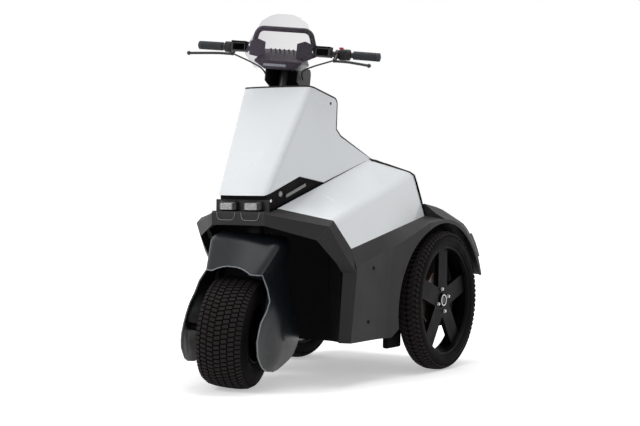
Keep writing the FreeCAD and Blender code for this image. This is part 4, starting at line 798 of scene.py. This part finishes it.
def paintFaces(node, look, chosen):
    mesh = bpy.data.objects[node + "_form"].data
    mesh.materials.append(materials[look])
    for polygon in mesh.polygons:
        if chosen(polygon.normal):
            polygon.material_index = 1


paintFaces("tail_lamps", "blackMetal",
           lambda normal: normal.y < painted["lampBack"] or abs(normal.x) > painted["lampSide"])
# the cowls' back and inner faces take the near-black liner: painted shade inside the bay
for side, sign in sides.items():
    paintFaces("side_cowl_" + side, "innerLiner",
               lambda normal: normal.y > painted["cowlBack"] or -normal.x * sign > painted["cowlInner"])
print("softened pieces ready")

# Tubes along a path in millimetres from the front axle: the sides of a quarter turn and the crisp corner in degrees
tubeForm = {"resolution": 3, "corner": 50}


def makeTube(name, path, radius, body, look, matrix=None):
    curve = bpy.data.curves.new(name, "CURVE")
    curve.dimensions = "3D"
    curve.bevel_depth = radius / 1000
    curve.bevel_resolution = tubeForm["resolution"]
    curve.use_fill_caps = True
    spline = curve.splines.new("POLY")
    spline.points.add(len(path) - 1)
    for point, place in zip(spline.points, path):
        point.co = (*spot(*place), 1)
    drawn = bpy.data.objects.new(name, curve)
    bpy.context.scene.collection.objects.link(drawn)
    bpy.context.view_layer.update()
    mesh = bpy.data.meshes.new_from_object(drawn.evaluated_get(bpy.context.evaluated_depsgraph_get()))
    bpy.data.objects.remove(drawn)
    shape = bmesh.new()
    shape.from_mesh(mesh)
    bmesh.ops.remove_doubles(shape, verts=shape.verts, dist=mergeGap["drawn"])
    newPiece(name, shape, body, look, matrix, angle=tubeForm["corner"])


# The edge of the bay wall along each cowl's rim, a tube in the near-black liner that paints it shaded
rimTrim = {
    "path": ((170, 686, 853), (195, 768, 843), (229, 918, 812), (238, 940, 800), (248, 946, 765), (268, 947, 700),
             (286, 947, 636)),
    "radius": 3.4,
}
for side, sign in sides.items():
    path = [(sign * x, y, z) for x, y, z in rimTrim["path"]]
    makeTube("rimTrim" + side.capitalize(), path, rimTrim["radius"], "body", "innerLiner")

# The lip of the front fender's opening, pale to paint its highlight: one half from the top's middle down, before
# the steering is turned
fenderLip = {
    "half": ((18, -105, 454), (37, -106, 450), (55, -109, 443), (73, -112, 433), (86, -109, 433), (97, -102, 433),
             (104, -91, 433), (107, -78, 433), (131, -81, 388), (145, -81, 343), (147, -117, 308), (143, -154, 272),
             (143, -169, 239), (143, -180, 205), (145, -175, 179), (146, -165, 151), (148, -133, 121),
             (150, -112, 105), (152, -76, 91), (156, 0, 80)),
    "radius": 2.0,
}
path = [(-x, y, z) for x, y, z in fenderLip["half"][::-1]] + list(fenderLip["half"])
makeTube("fenderLip", path, fenderLip["radius"], "steering", "lipSheen", steerMatrix)

# The bracket below each wheel housing, seen under the sill, in the near-black liner of painted shade
bracket = {"size": (28, 112, 62), "place": (269, 706, 137), "edge": 8}
for side, sign in sides.items():
    shape = mirror(boxAt(**bracket), sign)
    newPiece("sillBracket" + side.capitalize(), shape, "body", "innerLiner")

# Tyres, in millimetres: one half of each section as across and radius, and its rows of tread blocks, each as
# across, radius, lean in degrees, width, length, turn in degrees and where it starts as a share of the pitch
frontTyre = {
    "profile": ((0, 199.4), (20, 199.2), (45, 198), (64, 194.5), (77, 189), (86, 181), (91, 168), (92, 148),
                (91.5, 140), (90, 138), (88, 122), (81, 108), (74, 104), (60, 106)),
    "steps": 96,
    "rows": 72,
    "blocks": ((0, 201.6, 0, 22.5, 12.2, 12, 0), (26, 201.0, 2, 22.5, 12.2, 12, 0.55),
               (51.5, 198.7, 9, 22, 12.2, 12, 0), (74.5, 191.6, 31, 21, 12.2, 4, 0.5)),
    "height": 7.0,
    "edge": 1.1,
    "corner": 30,
}
rearTyre = {
    "profile": ((0, 281.6), (12, 281.2), (24, 279.6), (34, 275.6), (41, 269.5), (45.5, 260), (47.3, 250),
                (47.5, 246), (46.4, 244), (46.4, 236), (44, 229), (40, 224), (37, 222), (20, 224)),
    "steps": 144,
    "rows": 82,
    "blocks": ((13, 283.0, 3, 22, 15.4, 30, 0), (29.5, 279.6, 19, 16.5, 15.4, 30, 0.44),
               (40.6, 272.2, 52, 12, 15.4, 24, 0.75)),
    "height": 5.4,
    "edge": 0.8,
    "corner": 30,
}
blockTop = 0.5      # faces of a block that look outward more than this, from -1 to 1, take the paler rubber; all else takes the darker one, painted shade in the grooves


def makeTyre(name, node, setup, matrix, body):
    half = list(setup["profile"])
    shape = ring(half[::-1] + [(-across, radius) for across, radius in half[1:]], setup["steps"])
    for across, radius, lean, width, length, turn, start in setup["blocks"]:
        for sign in ((1,) if across == 0 else (1, -1)):
            matrices = []
            for row in range(setup["rows"]):
                angle = (row + start * sign) / setup["rows"] * math.tau
                matrices.append(Matrix.Rotation(angle, 4, "X")
                                @ Matrix.Translation((sign * across / 1000, 0, radius / 1000))
                                @ Matrix.Rotation(math.radians(lean) * sign, 4, "Y")
                                @ Matrix.Rotation(math.radians(turn) * sign, 4, "Z"))
            block = softBox(millis((width, length, setup["height"])), setup["edge"] / 1000, 1)
            block.normal_update()
            for face in block.faces:
                face.material_index = int(face.normal.z > blockTop)
            addCopies(shape, block, matrices)
    # the tyre's body takes the darker rubber of painted shade, and the block tops take the paler one
    piece = newPiece(name, shape, body, "tyrePaintedShade", matrix, setup["corner"])
    piece.data.materials.append(materials["tyreRubber"])
    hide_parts(node)


makeTyre("frontTurfTyre", "front_tyre", frontTyre, frontHubMatrix, "front_wheel")
for side, sign in sides.items():
    makeTyre("rearRoadTyre" + side.capitalize(), "rear_tyre_" + side, rearTyre, rearHubMatrix(sign),
             "rear_wheel_" + side)
print("tyres ready")

# Rear wheel bolts and the ring on the hub, in millimetres, with the first bolt's place in degrees
hubFittings = {
    "bolts": 4, "boltCircle": 48, "firstBolt": 16, "boltFace": 23, "boltSteps": 16, "ringFace": 26.2,
    "ringSteps": 48, "corner": 30,
}
boltProfile = ((-2, 0), (-2, 7.5), (1, 7.5), (1.6, 6.2), (6, 6.2), (7.2, 5), (7.2, 2.8), (4.5, 2.6), (4.5, 0))
ringProfile = ((-1, 19.5), (1.2, 19.5), (1.8, 20.5), (1.8, 22.5), (1.2, 23.5), (-1, 23.5))


def makeHubFittings(side, sign):
    shape = ring(ringProfile, hubFittings["ringSteps"])
    movePoints(shape, Matrix.Translation((hubFittings["ringFace"] / 1000, 0, 0)))
    matrices = []
    for index in range(hubFittings["bolts"]):
        angle = math.radians(hubFittings["firstBolt"]) + index / hubFittings["bolts"] * math.tau
        place = (hubFittings["boltFace"], math.cos(angle) * hubFittings["boltCircle"],
                 math.sin(angle) * hubFittings["boltCircle"])
        matrices.append(Matrix.Translation(millis(place)))
    addCopies(shape, ring(boltProfile, hubFittings["boltSteps"], closed=False), matrices)
    newPiece("wheelBolts" + side.capitalize(), shape, "rear_wheel_" + side, "brightSteel",
             rearHubMatrix(sign), hubFittings["corner"])


for side, sign in sides.items():
    makeHubFittings(side, sign)

# Grips, drawn along X from their inner end, in millimetres
grip = {
    "inner": (258, 309, 1266), "outer": (362, 320, 1266), "start": 7, "end": 109, "bore": 11.2, "radius": 16.5,
    "collar": 2, "firstGroove": 3, "lastGroove": 6,      # from the nearer end
    "pitch": 5.5, "depth": 1.3, "groove": (1.4, 2, 0.6),      # floor, floor with side, and the other side
    "nose": ((5, 0), (1.5, 0.5), (0, 2.5)),      # back from the outer end and in from the radius
    "steps": 32, "plugSteps": 24, "plugSunk": 2, "corner": 30,
}
plugProfile = ((0, 0), (0, 10.8), (3.5, 9.8), (4.5, 6), (4.5, 0))
gripRun = spot(*grip["outer"]) - spot(*grip["inner"])


def makeGrip(side, sign):
    name, inner = "grip" + side.capitalize(), spot(*grip["inner"])
    floor, rise, fall = grip["groove"]
    high = grip["radius"]
    low = high - grip["depth"]
    profile = [(grip["start"], grip["bore"]), (grip["start"], high), (grip["start"] + grip["collar"], high)]
    place = grip["start"] + grip["firstGroove"]
    while place + grip["pitch"] < grip["end"] - grip["lastGroove"]:
        profile += [(place, low), (place + floor, low), (place + rise, high), (place + grip["pitch"] - fall, high)]
        place += grip["pitch"]
    profile += [(grip["end"] - back, high - down) for back, down in grip["nose"]] + [(grip["end"], grip["bore"])]
    shape = ring(profile, grip["steps"])
    movePoints(shape, facing(gripRun, inner))
    piece = newPiece(name, mirror(shape, sign), "steering", "gripRubber", steerMatrix, grip["corner"])
    plug = ring(plugProfile, grip["plugSteps"], closed=False)
    movePoints(plug, facing(gripRun, inner + gripRun.normalized() * (grip["end"] - grip["plugSunk"]) / 1000))
    newPiece(name + "Plug", mirror(plug, sign), "steering", "greyPlastic", steerMatrix,
             grip["corner"])
    return piece


gripPieces = [makeGrip(side, sign) for side, sign in sides.items()]
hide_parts("grips")
print("wheels and grips ready")

# Small fittings on the bar, in millimetres: a switch pod with its barrel, a fluid cup with its lid and screws, and
# the kill switch. Each box: size, place, edge and the edge's segments
barKit = {
    "pod": ((36, 34, 40), (226, 300, 1264), 9, 3),
    "barrelAt": (232, 306, 1266), "barrelSteps": 32,
    "cup": ((56, 40, 34), (167, 238, 1264), 5),
    "lid": ((60, 44, 6), (167, 238, 1283), 1.5),
    "screws": ((-22, -15), (22, 15), (-22, 15), (22, -15)), "screwAbove": 2.6, "screwScale": 0.4, "screwSteps": 12,
    "killTop": ((17, 9, 7), (217, 300, 1289), 2.2),
    "killStem": ((5, 5, 12), (217, 300, 1283), 0.8, 1),
    "corner": 35, "screwCorner": 30,
}
barrelProfile = ((-21, 11.5), (-21, 18), (-18, 21), (-2, 21), (-1.5, 19.8), (1.5, 19.8), (2, 21), (18, 21),
                 (21, 18), (21, 11.5))


def makeBarKit(side, sign):
    tag = side.capitalize()
    pod = boxAt(*barKit["pod"])
    addCopies(pod, ring(barrelProfile, barKit["barrelSteps"]), [facing(gripRun, spot(*barKit["barrelAt"]))])
    piece = newPiece("switchPod" + tag, mirror(pod, sign), "steering", "darkPanel", steerMatrix,
                     barKit["corner"])
    cup = addCopies(boxAt(*barKit["cup"]), boxAt(*barKit["lid"]), [Matrix.Identity(4)])
    newPiece("fluidCup" + tag, mirror(cup, sign), "steering", "rimPaint", steerMatrix,
             barKit["corner"])
    across, forward, height = barKit["lid"][1]
    up = facing((0, 0, 1), (0, 0, 0)) @ Matrix.Scale(barKit["screwScale"], 4)
    matrices = [Matrix.Translation(spot(across + x, forward + y, height + barKit["screwAbove"])) @ up
                for x, y in barKit["screws"]]
    screws = addCopies(bmesh.new(), ring(boltProfile, barKit["screwSteps"], closed=False), matrices)
    newPiece("cupScrews" + tag, mirror(screws, sign), "steering", "brightSteel", steerMatrix,
             barKit["screwCorner"])
    return piece


podPieces = [makeBarKit(side, sign) for side, sign in sides.items()]
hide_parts("switch_pods")
killSwitch = addCopies(boxAt(*barKit["killTop"]), boxAt(*barKit["killStem"]), [Matrix.Identity(4)])
newPiece("killSwitch", killSwitch, "steering", "redPlastic", steerMatrix, barKit["corner"])

# Instrument pod, in millimetres and degrees: the display, its frame a little behind, and the ribs of its top
podKit = {
    "displayFrame": ((98, 6, 26), "blackMetal", 1.5),
    "displayPane": ((90, 5, 19), "displayGlass", 0),
    "displayAt": (-15, 214, 1207), "displayLean": 18, "displayEdge": 2,
    "ribs": 7, "rib": (5, 44, 3), "ribEdge": 1, "ribFirst": (-54, 268, 1266.6), "ribStep": 18, "ribTurn": 24,
}


def makePodDetails():
    x, y, z = podKit["displayAt"]
    for name in ("displayFrame", "displayPane"):
        size, look, behind = podKit[name]
        shape = softBox(millis(size), podKit["displayEdge"] / 1000)
        movePoints(shape, Matrix.Rotation(math.radians(podKit["displayLean"]), 4, "X"))
        newPiece(name, placed(shape, (x, y + behind, z)), "steering", look, steerMatrix)
    x, y, z = podKit["ribFirst"]
    turn = Matrix.Rotation(math.radians(podKit["ribTurn"]), 4, "Z")
    matrices = [Matrix.Translation(spot(x + index * podKit["ribStep"], y, z)) @ turn
                for index in range(podKit["ribs"])]
    ribs = addCopies(bmesh.new(), softBox(millis(podKit["rib"]), podKit["ribEdge"] / 1000), matrices)
    newPiece("podRibs", ribs, "steering", "darkPanel", steerMatrix)


makePodDetails()

# Screws, each on the surface that carries it: node, point, outward direction, size, body and finish. The bolt on
# the fender's dome has its point and direction from the front wheel's hub
screwProfile = ((-1.5, 0), (-1.5, 5), (0.6, 5), (1.2, 4.2), (1.2, 3), (0.1, 2.6), (0.1, 0))
screwRows = {
    "shieldScrew": ("front_shield", (164, 385, 1064.8), (1, 0, 0), 1.15, "body", "blackMetal"),
    # the panel screws take the near-black liner: painted shade in their recesses
    "panelScrewUpper": ("side_panel_left", (330, 426, 437), (1, 0, 0.15), 1.5, "body", "innerLiner"),
    "panelScrewLower": ("side_panel_left", (330, 397, 235), (1, 0, 0), 1.5, "body", "innerLiner"),
    "slotScrew": ("chassis", (104, 64, 689), (1, 0, 0), 1.2, "body", "brightSteel"),
    "domeBolt": ("front_fender", (100, 0, 1.5), (1, 0, 0), 2.4, "steering", "blackMetal"),
}
screwForm = {"steps": 20, "corner": 30}


def makeScrews():
    for name, (node, point, direction, size, body, look) in screwRows.items():
        for side, sign in sides.items():
            target = node.replace("_left", "_" + side)
            outward = Vector((direction[0] * sign, direction[1], direction[2]))
            start = spot(point[0] * sign, point[1], point[2])
            if body == "steering":
                start = frontHubMatrix @ (start - spot(0, 0, 0))
                outward = frontHubMatrix.to_3x3() @ outward
            place, normal = seat(target, start, outward)
            profile = [(x * size, radius * size) for x, radius in screwProfile]
            shape = ring(profile, screwForm["steps"], closed=False)
            newPiece(name + side.capitalize(), shape, body, look, facing(normal, place),
                     screwForm["corner"])


makeScrews()
print("fittings ready")

# Headlamps and side lamps, in millimetres: the housing behind each lens, the scallop below it with its lip in a
# painted highlight, and the slot's round lens
lampKit = {
    "across": 54, "housing": {"size": (78, 22, 36), "place": (54, 21, 669), "edge": 8, "segments": 3},
    "scallop": (78, 28), "scallopHeight": 632, "corner": 10, "cornerSegments": 4, "border": 2.5,
    "slope": 4, "depth": 6, "lift": 1.2, "wall": 1.5,
    "outline": ((-41, 13), (-38, -4), (-31, -13), (-20, -15), (20, -15), (31, -13), (38, -4), (41, 13)),
    "lipRadius": 1.2, "lipAhead": 1, "front": -100,
    "round": (108, 118, 715), "roundSteps": 28, "roundCorner": 30,
}
lensProfile = ((-2, 0), (-2, 10.5), (2, 10.5), (3, 9.5), (3, 8.5), (1.5, 8), (4.5, 4.5), (5, 0))


def makeLampKit(side, sign):
    tag, across = side.capitalize(), sign * lampKit["across"]
    newPiece("lampHousing" + tag, mirror(boxAt(**lampKit["housing"]), sign), "body", "blackMetal")
    # the scallop is a rounded frame with its middle set back
    shape = bmesh.new()
    bmesh.ops.create_grid(shape, x_segments=1, y_segments=1, size=0.5)
    bmesh.ops.scale(shape, vec=(*millis(lampKit["scallop"]), 1), verts=shape.verts)
    bmesh.ops.bevel(shape, geom=shape.verts, offset=lampKit["corner"] / 1000, segments=lampKit["cornerSegments"],
                    profile=0.5, affect="VERTICES", material=-1)
    bmesh.ops.inset_region(shape, faces=shape.faces, thickness=lampKit["border"] / 1000, depth=0)
    middle = min(shape.faces, key=lambda face: face.calc_center_median().length)
    bmesh.ops.inset_region(shape, faces=[middle], thickness=lampKit["slope"] / 1000,
                           depth=-lampKit["depth"] / 1000)
    movePoints(shape, Matrix.Rotation(math.pi / 2, 4, "X"))
    face, normal = seat("lamp_block", spot(across, lampKit["front"], lampKit["scallopHeight"]), (0, -1, 0))
    movePoints(shape, Matrix.Translation(face + normal * lampKit["lift"] / 1000))
    piece = newPiece("lampScallop" + tag, shape, "body", "fenderPlastic")
    wall = piece.modifiers.new("wall", "SOLIDIFY")
    wall.thickness = lampKit["wall"] / 1000
    forward = (face.y - vehicle["axleY"]) * 1000 - lampKit["lipAhead"]
    outline = [(across + x, forward, lampKit["scallopHeight"] + z) for x, z in lampKit["outline"]]
    # the lip's pale grey is a painted highlight
    makeTube("scallopLip" + tag, outline, lampKit["lipRadius"], "body", "lipSheen")
    x, y, z = lampKit["round"]
    place, normal = seat("chassis", spot(x * sign, y, z), (sign, 0, 0))
    lens = ring(lensProfile, lampKit["roundSteps"], closed=False)
    newPiece("slotLens" + tag, lens, "body", "lampLens", facing(normal, place), lampKit["roundCorner"])


for side, sign in sides.items():
    makeLampKit(side, sign)

# The deck's mat: raised ribs along the way the rider steps on, in millimetres
mat = {"rib": (9, 285, 3), "edge": 0.9, "ribs": 21, "first": (-200, 1127.5, 236.2), "step": 20}


def makeMat():
    x, y, z = mat["first"]
    matrices = [Matrix.Translation(spot(x + index * mat["step"], y, z)) for index in range(mat["ribs"])]
    shape = addCopies(bmesh.new(), softBox(millis(mat["rib"]), mat["edge"] / 1000), matrices)
    newPiece("deckRibs", shape, "body", "gripRubber")


makeMat()
print("lamps and deck ready")
